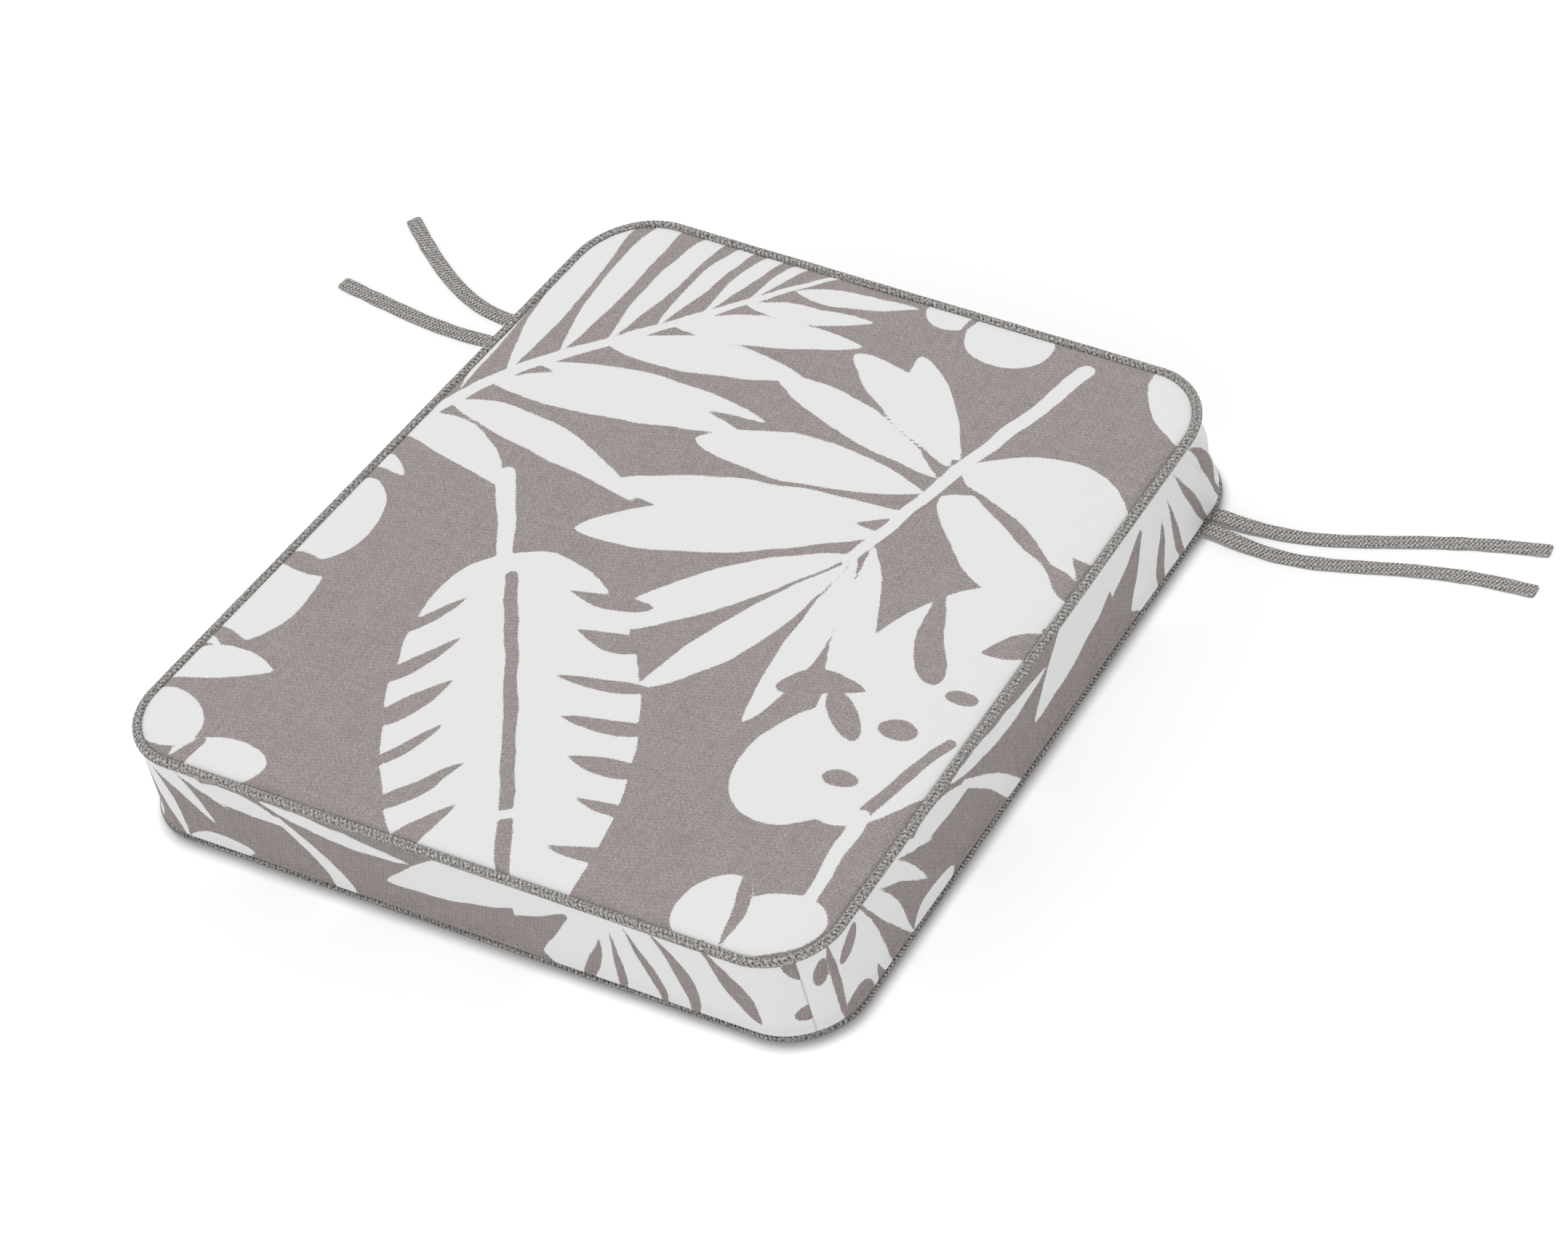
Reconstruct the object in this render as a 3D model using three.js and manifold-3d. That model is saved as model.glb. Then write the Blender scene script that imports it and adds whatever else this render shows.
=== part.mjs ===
// Boxed chair seat pad with piped edges, two pairs of ties and a rear zipper.
// Millimetres. +X is to the right, +Y is towards the rear edge with the zipper, +Z is up.
import * as THREE from "three";
import * as BufferGeometryUtils from "three/addons/utils/BufferGeometryUtils.js";
import Module from "manifold-3d";

const wasm = await Module();
wasm.setup();

// Plan of the pad, measured between the centre-lines of the piping
const FRONT_WIDTH = 495;
const REAR_WIDTH = 433;
const DEPTH = 487;
const FRONT_CORNER = 42;
const REAR_CORNER = 46;
const CORNER_STEPS = 8;

// Heights and cloth
const PAD_HEIGHT = 68;
const CLOTH = 0.8;
const GAP = 0.3;
const SEAM_GAP = 0.4;
const BOXING_OUT = 0.5;

// Piping: a cord inside a folded strip, whose two plies run into the seam
const PIPING_RADIUS = 2.7;
const PIPING_PLY = 0.5;
const CORD_RADIUS = 1.8;
const FLANGE = 10;
const BOTTOM_PIPING_Z = 3.6;
const TOP_PIPING_Z = PAD_HEIGHT - 4.1;

// Filling
const FOAM_INSET = 3.2;
const WADDING_INSET = FLANGE + 1;
const WADDING_THICK = 6;

// Ties
const TIE_WIDTH = 9.5;
const TIE_THICK = 1.8;
const ANCHOR_THICK = 2.3;

// Zipper, with "out" counted outwards from the rear piping line
const ZIP_Z = (BOTTOM_PIPING_Z + TOP_PIPING_Z) / 2;
const ZIP_MOUTH = 11.5;
const TAPE_OUT = [-1.2, -0.6];
const TAPE_SPLIT = 0.9;
const TAPE_WIDTH = 13;
const COIL_OUT = [-0.3, 1.9];
const COIL_Z = [0.8, 3.6];
const COIL_END_MARGIN = 3;
const SLIDER_LENGTH = 12;
const SLIDER_HALF_WIDTH = 4.8;
const SLIDER_PLATE = [2.2, 3.3];
const SLIDER_BACK = [-2.5, -1.5];
const SLIDER_END_MARGIN = 9;
const PIVOT_OUT = 4.45;
const BRIDGE_HALF_LENGTH = 3.2;
const BRIDGE_HALF_WIDTH = 1.5;
const BRIDGE_WALL = 1;
const BRIDGE_TOP = 6.6;
const PULL_THICK = 1.2;
const PULL_LENGTH = 26;
const PULL_HALF_WIDTH = 3.2;
const EYE_HALF_WIDTH = 1.8;
const EYE_LENGTH = 4;

const canvas = { color: 0xb5afac, roughness: 0.92, metalness: 0 };
const tweed = { color: 0xaaa8a5, roughness: 0.95, metalness: 0 };
const tapeCloth = { color: 0xa39c98, roughness: 0.9, metalness: 0 };
const nylon = { color: 0x8f8985, roughness: 0.55, metalness: 0 };
const zinc = { color: 0xa9abad, roughness: 0.35, metalness: 1 };
const foam = { color: 0xece6d6, roughness: 1, metalness: 0 };
const fibre = { color: 0xf4f4f2, roughness: 1, metalness: 0 };
const cotton = { color: 0xe6e1d8, roughness: 1, metalness: 0 };

// The corners, anticlockwise from the front left, joined by straight sides
const sideLean = Math.atan2((FRONT_WIDTH - REAR_WIDTH) / 2, DEPTH);
const halfWidthAt = (y) => FRONT_WIDTH / 2 - (y / DEPTH + 0.5) * (FRONT_WIDTH - REAR_WIDTH) / 2;

function corner(side, end, radius, from, to) {
  const y = end * (DEPTH / 2 - radius);
  const x = side * (halfWidthAt(y) - radius / Math.cos(sideLean));
  return { centre: new THREE.Vector2(x, y), radius, from, to, length: radius * (to - from) };
}

const corners = [
  corner(-1, -1, FRONT_CORNER, Math.PI - sideLean, Math.PI * 1.5),
  corner(1, -1, FRONT_CORNER, -Math.PI / 2, sideLean),
  corner(1, 1, REAR_CORNER, sideLean, Math.PI / 2),
  corner(-1, 1, REAR_CORNER, Math.PI / 2, Math.PI - sideLean),
];

function arcPoint(at, share, inset) {
  const angle = at.from + (at.to - at.from) * share;
  const reach = at.radius - inset;
  return new THREE.Vector2(Math.cos(angle), Math.sin(angle)).multiplyScalar(reach).add(at.centre);
}

// Distances along the edge where each corner starts and ends
const marks = [];
let perimeter = 0;
corners.forEach((at, i) => {
  const next = corners[(i + 1) % corners.length];
  const straight = arcPoint(at, 1, 0).distanceTo(arcPoint(next, 0, 0));
  marks.push({ start: perimeter, end: perimeter + at.length, straight });
  perimeter += at.length + straight;
});
const cornerMiddle = (i) => (marks[i].start + marks[i].end) / 2;

function edgePoint(distance, inset) {
  const s = (distance + perimeter) % perimeter;
  const i = marks.findLastIndex((mark) => mark.start <= s);
  const mark = marks[i];
  if (s <= mark.end) return arcPoint(corners[i], (s - mark.start) / corners[i].length, inset);
  const start = arcPoint(corners[i], 1, inset);
  return start.lerp(arcPoint(corners[(i + 1) % corners.length], 0, inset), (s - mark.end) / mark.straight);
}

// The whole loop's stations, and those between two distances
const stations = marks.flatMap((mark) => Array.from({ length: CORNER_STEPS + 1 },
  (_, k) => mark.start + (mark.end - mark.start) * k / CORNER_STEPS));

function stationsBetween(from, to) {
  const laps = [...stations, ...stations.map((s) => s + perimeter)];
  return [from, ...laps.filter((s) => s > from && s < to), to];
}

function extrudeUp(points, low, high) {
  const shape = new THREE.Shape(points);
  const geometry = new THREE.ExtrudeGeometry(shape, { depth: high - low, bevelEnabled: false });
  return geometry.translate(0, 0, low);
}

function slab(inset, low, high) {
  return extrudeUp(stations.map((s) => edgePoint(s, inset)), low, high);
}

// An upright strip that follows the edge between two distances
function wall(from, to, outs, low, high) {
  const run = stationsBetween(from + SEAM_GAP / 2, to - SEAM_GAP / 2);
  const outer = run.map((s) => edgePoint(s, -outs[1]));
  const inner = run.map((s) => edgePoint(s, -outs[0])).reverse();
  return extrudeUp([...outer, ...inner], low, high);
}

// A section, as [outwards, up] pairs, carried right round the edge
function ring(section, z) {
  const positions = [];
  const index = [];
  const sides = section.length;
  stations.forEach((s, i) => {
    const next = (i + 1) % stations.length;
    section.forEach(([out, up], j) => {
      const point = edgePoint(s, -out);
      positions.push(point.x, point.y, z + up);
      const k = (j + 1) % sides;
      const [a, b, c, d] = [i * sides + j, next * sides + j, next * sides + k, i * sides + k];
      index.push(a, b, c, a, c, d);
    });
  });
  const geometry = new THREE.BufferGeometry();
  geometry.setAttribute("position", new THREE.Float32BufferAttribute(positions, 3));
  geometry.setIndex(index);
  return geometry.toNonIndexed();
}

function circle(radius, from, to, steps) {
  return Array.from({ length: steps + 1 }, (_, k) => {
    const angle = from + (to - from) * k / steps;
    return [radius * Math.cos(angle), radius * Math.sin(angle)];
  });
}

// Keyhole section: round the cord, then two plies into the seam with a slit between them
function pipingSection() {
  const slit = GAP / 2;
  const face = slit + PIPING_PLY;
  const outerTurn = Math.PI - Math.asin(face / PIPING_RADIUS);
  const innerRadius = PIPING_RADIUS - PIPING_PLY;
  const innerTurn = Math.PI - Math.asin(slit / innerRadius);
  return [
    [-FLANGE, -face],
    ...circle(PIPING_RADIUS, -outerTurn, outerTurn, 10),
    [-FLANGE, face],
    [-FLANGE, slit],
    ...circle(innerRadius, innerTurn, -innerTurn, 10),
    [-FLANGE, -slit],
  ];
}

const cordSection = circle(CORD_RADIUS, 0, Math.PI * 2, 8).slice(0, -1);

// A box given by its extents; y is counted outwards from the rear piping line
function rearBox(xs, outs, zs) {
  const geometry = new THREE.BoxGeometry(xs[1] - xs[0], outs[1] - outs[0], zs[1] - zs[0]);
  const middle = ([low, high]) => (low + high) / 2;
  return geometry.translate(middle(xs), DEPTH / 2 + middle(outs), ZIP_Z + middle(zs));
}

function toSolid(geometry) {
  const bare = geometry.clone();
  bare.deleteAttribute("normal");
  bare.deleteAttribute("uv");
  const merged = BufferGeometryUtils.mergeVertices(bare);
  return new wasm.Manifold(new wasm.Mesh({
    numProp: 3,
    vertProperties: new Float32Array(merged.attributes.position.array),
    triVerts: new Uint32Array(merged.index.array),
  }));
}

function toGeometry(solid) {
  const { vertProperties, triVerts } = solid.getMesh();
  const geometry = new THREE.BufferGeometry();
  geometry.setAttribute("position", new THREE.BufferAttribute(new Float32Array(vertProperties), 3));
  geometry.setIndex(new THREE.BufferAttribute(new Uint32Array(triVerts), 1));
  return geometry.toNonIndexed();
}

const join = (pieces) => toGeometry(pieces.map(toSolid).reduce((sum, piece) => sum.add(piece)));

// A plate in the X-Z plane of the rear edge, from an outline in [x, z]
function rearPlate(shape, outs) {
  const geometry = new THREE.ExtrudeGeometry(shape, {
    depth: outs[1] - outs[0], bevelEnabled: false, curveSegments: 3,
  });
  return geometry.rotateX(Math.PI / 2).translate(0, DEPTH / 2 + outs[1], ZIP_Z);
}

// Shield outline, widest where the two half chains enter
function shield(halfLength, halfWidth) {
  const shape = new THREE.Shape();
  const tail = halfWidth * 0.8;
  shape.moveTo(-halfLength, -tail);
  shape.lineTo(halfLength * 0.5, -halfWidth);
  shape.quadraticCurveTo(halfLength, -halfWidth, halfLength, -halfWidth * 0.45);
  shape.lineTo(halfLength, halfWidth * 0.45);
  shape.quadraticCurveTo(halfLength, halfWidth, halfLength * 0.5, halfWidth);
  shape.lineTo(-halfLength, tail);
  shape.closePath();
  return shape;
}

function sliderGeometry() {
  const half = SLIDER_LENGTH / 2;
  const flangeZ = [COIL_Z[1] + GAP, SLIDER_HALF_WIDTH];
  const flangeOut = [TAPE_OUT[1] + GAP, SLIDER_PLATE[0] + 0.1];
  const flange = (sign) => rearBox([-half * 0.6, half * 0.5], flangeOut,
    sign > 0 ? flangeZ : [-flangeZ[1], -flangeZ[0]]);
  const postZ = COIL_Z[0] - GAP;
  const post = rearBox([0, half - 1.5], [SLIDER_BACK[1] - 0.2, SLIDER_PLATE[0] + 0.1], [-postZ, postZ]);
  const bridgeZ = [-BRIDGE_HALF_WIDTH, BRIDGE_HALF_WIDTH];
  const foot = SLIDER_PLATE[1] - 0.1;
  const lintel = BRIDGE_TOP - BRIDGE_WALL;
  const leg = (sign) => rearBox(
    sign > 0 ? [BRIDGE_HALF_LENGTH - BRIDGE_WALL, BRIDGE_HALF_LENGTH]
      : [-BRIDGE_HALF_LENGTH, BRIDGE_WALL - BRIDGE_HALF_LENGTH],
    [foot, lintel + 0.1], bridgeZ);
  const top = rearBox([-BRIDGE_HALF_LENGTH, BRIDGE_HALF_LENGTH], [lintel, BRIDGE_TOP], bridgeZ);
  return join([
    rearPlate(shield(half, SLIDER_HALF_WIDTH), SLIDER_PLATE),
    rearPlate(shield(half, SLIDER_HALF_WIDTH - 0.3), SLIDER_BACK),
    flange(1), flange(-1), post, leg(1), leg(-1), top,
  ]);
}

// Tab with an eye; the bar at the eye's closed end turns under the slider's bridge
function pullGeometry() {
  const barHalf = PULL_THICK / 2;
  const shape = new THREE.Shape();
  shape.moveTo(-barHalf, -PULL_HALF_WIDTH);
  shape.lineTo(PULL_LENGTH - PULL_HALF_WIDTH, -PULL_HALF_WIDTH);
  shape.absarc(PULL_LENGTH - PULL_HALF_WIDTH, 0, PULL_HALF_WIDTH, -Math.PI / 2, Math.PI / 2);
  shape.lineTo(-barHalf, PULL_HALF_WIDTH);
  shape.closePath();
  const eye = new THREE.Path();
  eye.moveTo(barHalf, -EYE_HALF_WIDTH);
  eye.lineTo(barHalf, EYE_HALF_WIDTH);
  eye.lineTo(barHalf + EYE_LENGTH, EYE_HALF_WIDTH);
  eye.lineTo(barHalf + EYE_LENGTH, -EYE_HALF_WIDTH);
  eye.closePath();
  shape.holes.push(eye);
  return rearPlate(shape, [PIVOT_OUT - barHalf, PIVOT_OUT + barHalf]);
}

// Flat strap along hand-laid points; it leaves the piping and comes down onto the surface
function tieGeometry(points) {
  const route = new THREE.CatmullRomCurve3(points.map((point) => new THREE.Vector3(...point)));
  const [t, w] = [TIE_THICK / 2, TIE_WIDTH / 2];
  const bevel = 0.6;
  const section = new THREE.Shape([
    [t, bevel - w], [t, w - bevel], [t - bevel, w], [bevel - t, w],
    [-t, w - bevel], [-t, bevel - w], [bevel - t, -w], [t - bevel, -w],
  ].map((pair) => new THREE.Vector2(...pair)));
  return new THREE.ExtrudeGeometry(section, { steps: 24, extrudePath: route });
}

// The sewn-in fold of a pair of ties: two legs and the turn that joins them
function anchorGeometry(side, middleY) {
  const legs = TIE_WIDTH + 2.5;
  const notch = 0.6;
  const inner = halfWidthAt(middleY) - FLANGE;
  const outer = halfWidthAt(middleY) - PIPING_RADIUS - 1.2;
  const notchDepth = (outer - inner) * 0.6;
  const outline = [
    [inner, -legs], [outer, -legs], [outer, -notch], [outer - notchDepth, -notch],
    [outer - notchDepth, notch], [outer, notch], [outer, legs], [inner, legs],
  ].map(([x, y]) => new THREE.Vector2(side * x, middleY + y));
  const low = BOTTOM_PIPING_Z + GAP / 2 + PIPING_PLY + GAP;
  return extrudeUp(outline, low, low + ANCHOR_THICK);
}

const TIE_LOW = TIE_THICK / 2 + GAP;
const TIE_EXIT = BOTTOM_PIPING_Z + GAP;
const ties = {
  right_rear_tie: [
    [222.8, 203, TIE_EXIT], [229, 203.2, TIE_EXIT], [243, 203.4, 2.8], [259, 204.8, 1.7],
    [280, 208, TIE_LOW], [301, 213.5, TIE_LOW], [326, 222.2, TIE_LOW], [353, 232.2, TIE_LOW],
    [388, 243.3, TIE_LOW], [422, 251.5, TIE_LOW],
  ],
  right_front_tie: [
    [223.6, 191.8, TIE_EXIT], [229, 191.5, TIE_EXIT], [243, 190.1, 2.8], [257, 189.4, 1.7],
    [271, 189.5, TIE_LOW], [287, 190.9, TIE_LOW], [304, 194.2, TIE_LOW], [328, 200.9, TIE_LOW],
    [356, 208.8, TIE_LOW], [392, 216.2, TIE_LOW], [431, 220, TIE_LOW],
  ],
  left_rear_tie: [
    [-223.3, 196, TIE_EXIT], [-229, 196, TIE_EXIT], [-243, 193.8, 2.8], [-259, 190.8, 1.7],
    [-277, 189.4, TIE_LOW], [-297, 191.1, TIE_LOW], [-316, 196.3, TIE_LOW], [-338, 206.4, TIE_LOW],
    [-364, 222, TIE_LOW], [-393, 242.3, TIE_LOW],
  ],
  left_front_tie: [
    [-224.2, 183.6, TIE_EXIT], [-229, 183.4, TIE_EXIT], [-243, 179, 2.8], [-259, 173.4, 1.7],
    [-277, 170, TIE_LOW], [-299, 168.4, TIE_LOW], [-328, 169.4, TIE_LOW], [-360, 173.2, TIE_LOW],
    [-402, 179.3, TIE_LOW],
  ],
};

const sliderRest = edgePoint(marks[2].end, 0).x * -1 + SLIDER_END_MARGIN + SLIDER_LENGTH / 2;
const boxingOuts = [BOXING_OUT - CLOTH, BOXING_OUT];
const boxingLow = BOTTOM_PIPING_Z + PIPING_RADIUS + GAP;
const boxingHigh = TOP_PIPING_Z - PIPING_RADIUS - GAP;
const foamLow = CLOTH + GAP + WADDING_THICK + GAP;
const foamHigh = TOP_PIPING_Z - PIPING_RADIUS - 2 * GAP;
const rearStart = marks[2].end;
const rearEnd = marks[3].start;
const frontLeftSeam = cornerMiddle(0);
const frontRightSeam = cornerMiddle(1);

const pad = new THREE.Group();
// The base's box is centred on the origin once the zipper's bridge is counted in
pad.position.y = (PIPING_RADIUS - BRIDGE_TOP) / 2;

function add(name, geometry, finish, x = 0) {
  const mesh = new THREE.Mesh(geometry, new THREE.MeshStandardMaterial(finish));
  mesh.name = name;
  mesh.position.x = x;
  pad.add(mesh);
}

// Cover
add("top_panel", slab(PIPING_RADIUS + GAP, PAD_HEIGHT - CLOTH, PAD_HEIGHT), canvas);
add("bottom_panel", slab(PIPING_RADIUS + GAP, 0, CLOTH), canvas);
add("front_boxing", wall(frontLeftSeam, frontRightSeam, boxingOuts, boxingLow, boxingHigh), canvas);
add("right_boxing", wall(frontRightSeam, rearStart, boxingOuts, boxingLow, boxingHigh), canvas);
add("left_boxing", wall(rearEnd, perimeter + frontLeftSeam, boxingOuts, boxingLow, boxingHigh), canvas);
add("rear_band_upper", wall(rearStart, rearEnd, boxingOuts, ZIP_Z + ZIP_MOUTH / 2, boxingHigh), canvas);
add("rear_band_lower", wall(rearStart, rearEnd, boxingOuts, boxingLow, ZIP_Z - ZIP_MOUTH / 2), canvas);

// Piping
for (const [level, z] of [["top", TOP_PIPING_Z], ["bottom", BOTTOM_PIPING_Z]]) {
  add(`${level}_piping_cover`, ring(pipingSection(), z), tweed);
  add(`${level}_piping_cord`, ring(cordSection, z), cotton);
}

// Filling
add("foam_core", slab(FOAM_INSET, foamLow, foamHigh), foam);
add("top_wadding", slab(WADDING_INSET, foamHigh + GAP, PAD_HEIGHT - CLOTH - GAP), fibre);
add("bottom_wadding", slab(WADDING_INSET, CLOTH + GAP, foamLow - GAP), fibre);

// Zipper chain, as two half chains on their tapes
for (const [half, sign] of [["upper", 1], ["lower", -1]]) {
  const between = ([near, far]) => [ZIP_Z + Math.min(sign * near, sign * far),
    ZIP_Z + Math.max(sign * near, sign * far)];
  const tape = wall(rearStart, rearEnd, TAPE_OUT, ...between([TAPE_SPLIT, TAPE_WIDTH]));
  const coilStart = rearStart + COIL_END_MARGIN;
  const coil = wall(coilStart, rearEnd - COIL_END_MARGIN, COIL_OUT, ...between(COIL_Z));
  add(`zipper_tape_${half}`, tape, tapeCloth);
  add(`zipper_coil_${half}`, coil, nylon);
}
add("zipper_slider", sliderGeometry(), zinc, sliderRest);
add("zipper_pull", pullGeometry(), zinc, sliderRest);

// Ties and the folds that hold them in the bottom seam
add("right_tie_anchor", anchorGeometry(1, 196.8), tweed);
add("left_tie_anchor", anchorGeometry(-1, 189.8), tweed);
for (const [name, points] of Object.entries(ties)) add(name, tieGeometry(points), tweed);

export default pad;
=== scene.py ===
"""Boxed chair seat pad: printed canvas cover, tweed piping and ties, rear zipper, foam filling.

Everything is in metres in the part's own frame. The print is worked out in millimetres.
"""
import math

import bpy
import numpy as np
from mathutils import Matrix, Vector


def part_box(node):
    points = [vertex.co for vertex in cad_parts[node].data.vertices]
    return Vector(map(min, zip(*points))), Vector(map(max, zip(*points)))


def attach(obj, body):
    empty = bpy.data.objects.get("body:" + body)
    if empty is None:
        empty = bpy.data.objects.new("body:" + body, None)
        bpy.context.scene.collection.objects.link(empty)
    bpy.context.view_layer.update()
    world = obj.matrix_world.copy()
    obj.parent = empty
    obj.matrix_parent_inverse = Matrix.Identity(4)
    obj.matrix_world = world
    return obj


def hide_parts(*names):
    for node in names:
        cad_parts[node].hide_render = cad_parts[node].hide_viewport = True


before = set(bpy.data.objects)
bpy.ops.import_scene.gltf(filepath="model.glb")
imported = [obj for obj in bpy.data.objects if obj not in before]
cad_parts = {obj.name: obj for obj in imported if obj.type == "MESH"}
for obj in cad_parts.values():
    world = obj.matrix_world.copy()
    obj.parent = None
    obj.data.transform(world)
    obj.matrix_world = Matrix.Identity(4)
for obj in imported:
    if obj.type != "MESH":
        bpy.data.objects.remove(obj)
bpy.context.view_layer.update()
MM = 0.001
PAD = "pad"

# ---- plan of the pad
FRONT_WIDTH = 0.495
REAR_WIDTH = 0.433
FRONT_CORNER = 0.042
REAR_CORNER = 0.046
PIPING_R = 0.0027

top_low, top_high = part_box("top_piping_cover")
bottom_low, bottom_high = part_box("bottom_piping_cover")
DEPTH = top_high.y - top_low.y - 2 * PIPING_R
MID_Y = (top_high.y + top_low.y) / 2
TOP_Z = (top_high.z + top_low.z) / 2
BOTTOM_Z = (bottom_high.z + bottom_low.z) / 2
RISE = TOP_Z - BOTTOM_Z
LEAN = math.atan2((FRONT_WIDTH - REAR_WIDTH) / 2, DEPTH)


def half_width(y):
    return FRONT_WIDTH / 2 - (y / DEPTH + 0.5) * (FRONT_WIDTH - REAR_WIDTH) / 2


class Corner:
    def __init__(self, side, end, radius, start, stop):
        y = end * (DEPTH / 2 - radius)
        self.centre = np.array([side * (half_width(y) - radius / math.cos(LEAN)), y])
        self.radius, self.start, self.stop = radius, start, stop
        self.length = radius * (stop - start)

    def point(self, angle):
        return self.centre + self.radius * np.array([math.cos(angle), math.sin(angle)])


CORNERS = [
    Corner(-1, -1, FRONT_CORNER, math.pi - LEAN, math.pi * 1.5),
    Corner(1, -1, FRONT_CORNER, math.pi * 1.5, math.pi * 2 + LEAN),
    Corner(1, 1, REAR_CORNER, math.pi * 2 + LEAN, math.pi * 2.5),
    Corner(-1, 1, REAR_CORNER, math.pi * 2.5, math.pi * 3 - LEAN),
]

# Distance along the edge at which each corner starts and ends
STARTS, ENDS = [], []
PERIMETER = 0.0
for number, corner in enumerate(CORNERS):
    following = CORNERS[(number + 1) % 4]
    straight = np.linalg.norm(corner.point(corner.stop) - following.point(following.start))
    STARTS.append(PERIMETER)
    ENDS.append(PERIMETER + corner.length)
    PERIMETER += corner.length + straight
MIDDLES = [(a + b) / 2 for a, b in zip(STARTS, ENDS)]


def edge(s, inset=0.0):
    """Points at distances s along the edge, moved in by inset, and the outward directions there."""
    s = np.mod(np.asarray(s, float), PERIMETER)
    spot = np.zeros(s.shape + (2,))
    angle = np.zeros(s.shape)
    for k, corner in enumerate(CORNERS):
        on_arc = (s >= STARTS[k]) & (s <= ENDS[k])
        turn = corner.start + (s - STARTS[k]) / corner.radius
        arc = corner.centre + corner.radius * np.stack([np.cos(turn), np.sin(turn)], -1)
        spot[on_arc], angle[on_arc] = arc[on_arc], turn[on_arc]
        stop = STARTS[k + 1] if k < 3 else PERIMETER
        on_side = (s > ENDS[k]) & (s < stop)
        following = CORNERS[(k + 1) % 4]
        a, b = corner.point(corner.stop), following.point(following.start)
        share = ((s - ENDS[k]) / (stop - ENDS[k]))[..., None]
        spot[on_side] = (a + (b - a) * share)[on_side]
        angle[on_side] = corner.stop
    out = np.stack([np.cos(angle), np.sin(angle)], -1)
    return spot - out * np.asarray(inset)[..., None], out


def edge_distance(xy):
    """How far points of the plan lie inside the edge."""
    best = np.full(xy.shape[:-1], 1.0)
    for corner in CORNERS:
        out = np.array([math.cos(corner.stop), math.sin(corner.stop)])
        best = np.minimum(best, (corner.point(corner.stop) - xy) @ out)
    for corner in CORNERS:
        reach = xy - corner.centre
        span = np.mod(np.arctan2(reach[..., 1], reach[..., 0]) - corner.start, 2 * math.pi)
        inside = span < corner.stop - corner.start
        best = np.where(inside, corner.radius - np.linalg.norm(reach, axis=-1), best)
    return best


# ---- camera, floor and light
def look():
    """The camera of a long lens, above the front right corner and rolled a little."""
    azimuth, elevation, roll = math.radians(46.15), math.radians(42.46), math.radians(-17.27)
    distance, aim_right, aim_up = 6.0163, 0.043, 0.01155
    back = Vector((math.sin(azimuth) * math.cos(elevation),
                   -math.cos(azimuth) * math.cos(elevation), math.sin(elevation)))
    right = Vector((math.cos(azimuth), math.sin(azimuth), 0))
    up = back.cross(right)
    across = math.cos(roll) * right + math.sin(roll) * up
    above = -math.sin(roll) * right + math.cos(roll) * up
    data = bpy.data.cameras.new("camera")
    data.lens, data.sensor_width = 239.35, 36
    data.clip_start, data.clip_end = 0.1, 50
    camera = bpy.data.objects.new("camera", data)
    bpy.context.scene.collection.objects.link(camera)
    place = Vector((0, MID_Y, BOTTOM_Z)) + back * distance + across * aim_right + above * aim_up
    turn = Matrix((across, above, back)).transposed().to_4x4()
    camera.matrix_world = Matrix.Translation(place) @ turn
    bpy.context.scene.camera = camera


# Strength of the dome and of the source overhead, how much the dome leans, and its least strength
DOME = 1.3
OVERHEAD = 1.67
SHADE = 0.10
DOME_LEAST = 0.06
FLOOR_REACH = 12


def studio():
    """An even dome, brightest low down, and a small source almost overhead for the tight shadow."""
    world = bpy.data.worlds.new("studio")
    world.use_nodes = True
    n = Nodes(world.node_tree)
    x, y, z = n.node("ShaderNodeSeparateXYZ", {0: n.node("ShaderNodeTexCoord").outputs["Generated"]}).outputs
    low = n.math("POWER", n.math("SUBTRACT", 1.0, n.math("MULTIPLY", z, z)), 1.5)
    lean = n.math("SUBTRACT", 1.0, n.math("MULTIPLY", n.math("ADD", x, y), SHADE))
    glow = n.math("MULTIPLY_ADD", n.math("MULTIPLY", low, lean), DOME, DOME_LEAST)
    sky = world.node_tree.nodes["Background"]
    n.put((1, 1, 1, 1), sky.inputs["Color"])
    n.put(glow, sky.inputs["Strength"])
    bpy.context.scene.world = world
    data = bpy.data.lights.new("overhead", "SUN")
    data.energy, data.angle = OVERHEAD, math.radians(7.5)
    light = bpy.data.objects.new("overhead", data)
    light.rotation_euler = Vector((0.052, -0.052, -1)).to_track_quat("-Z", "Y").to_euler()
    bpy.context.scene.collection.objects.link(light)
    bpy.context.scene.view_settings.view_transform = "Standard"
    floor = bpy.data.meshes.new("floor")
    corners = [(x * FLOOR_REACH, y * FLOOR_REACH, 0) for x, y in ((-1, -1), (1, -1), (1, 1), (-1, 1))]
    floor.from_pydata(corners, [], [(0, 1, 2, 3)])
    plane = bpy.data.objects.new("floor", floor)
    bpy.context.scene.collection.objects.link(plane)
    paper = bpy.data.materials.new("floor_paper")
    paper.use_nodes = True
    look_of = {"Base Color": (0.93, 0.93, 0.93, 1), "Roughness": 1, "Specular IOR Level": 0,
               "Emission Color": (1, 1, 1, 1), "Emission Strength": 0.04}
    for key, value in look_of.items():
        paper.node_tree.nodes["Principled BSDF"].inputs[key].default_value = value
    floor.materials.append(paper)


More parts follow.
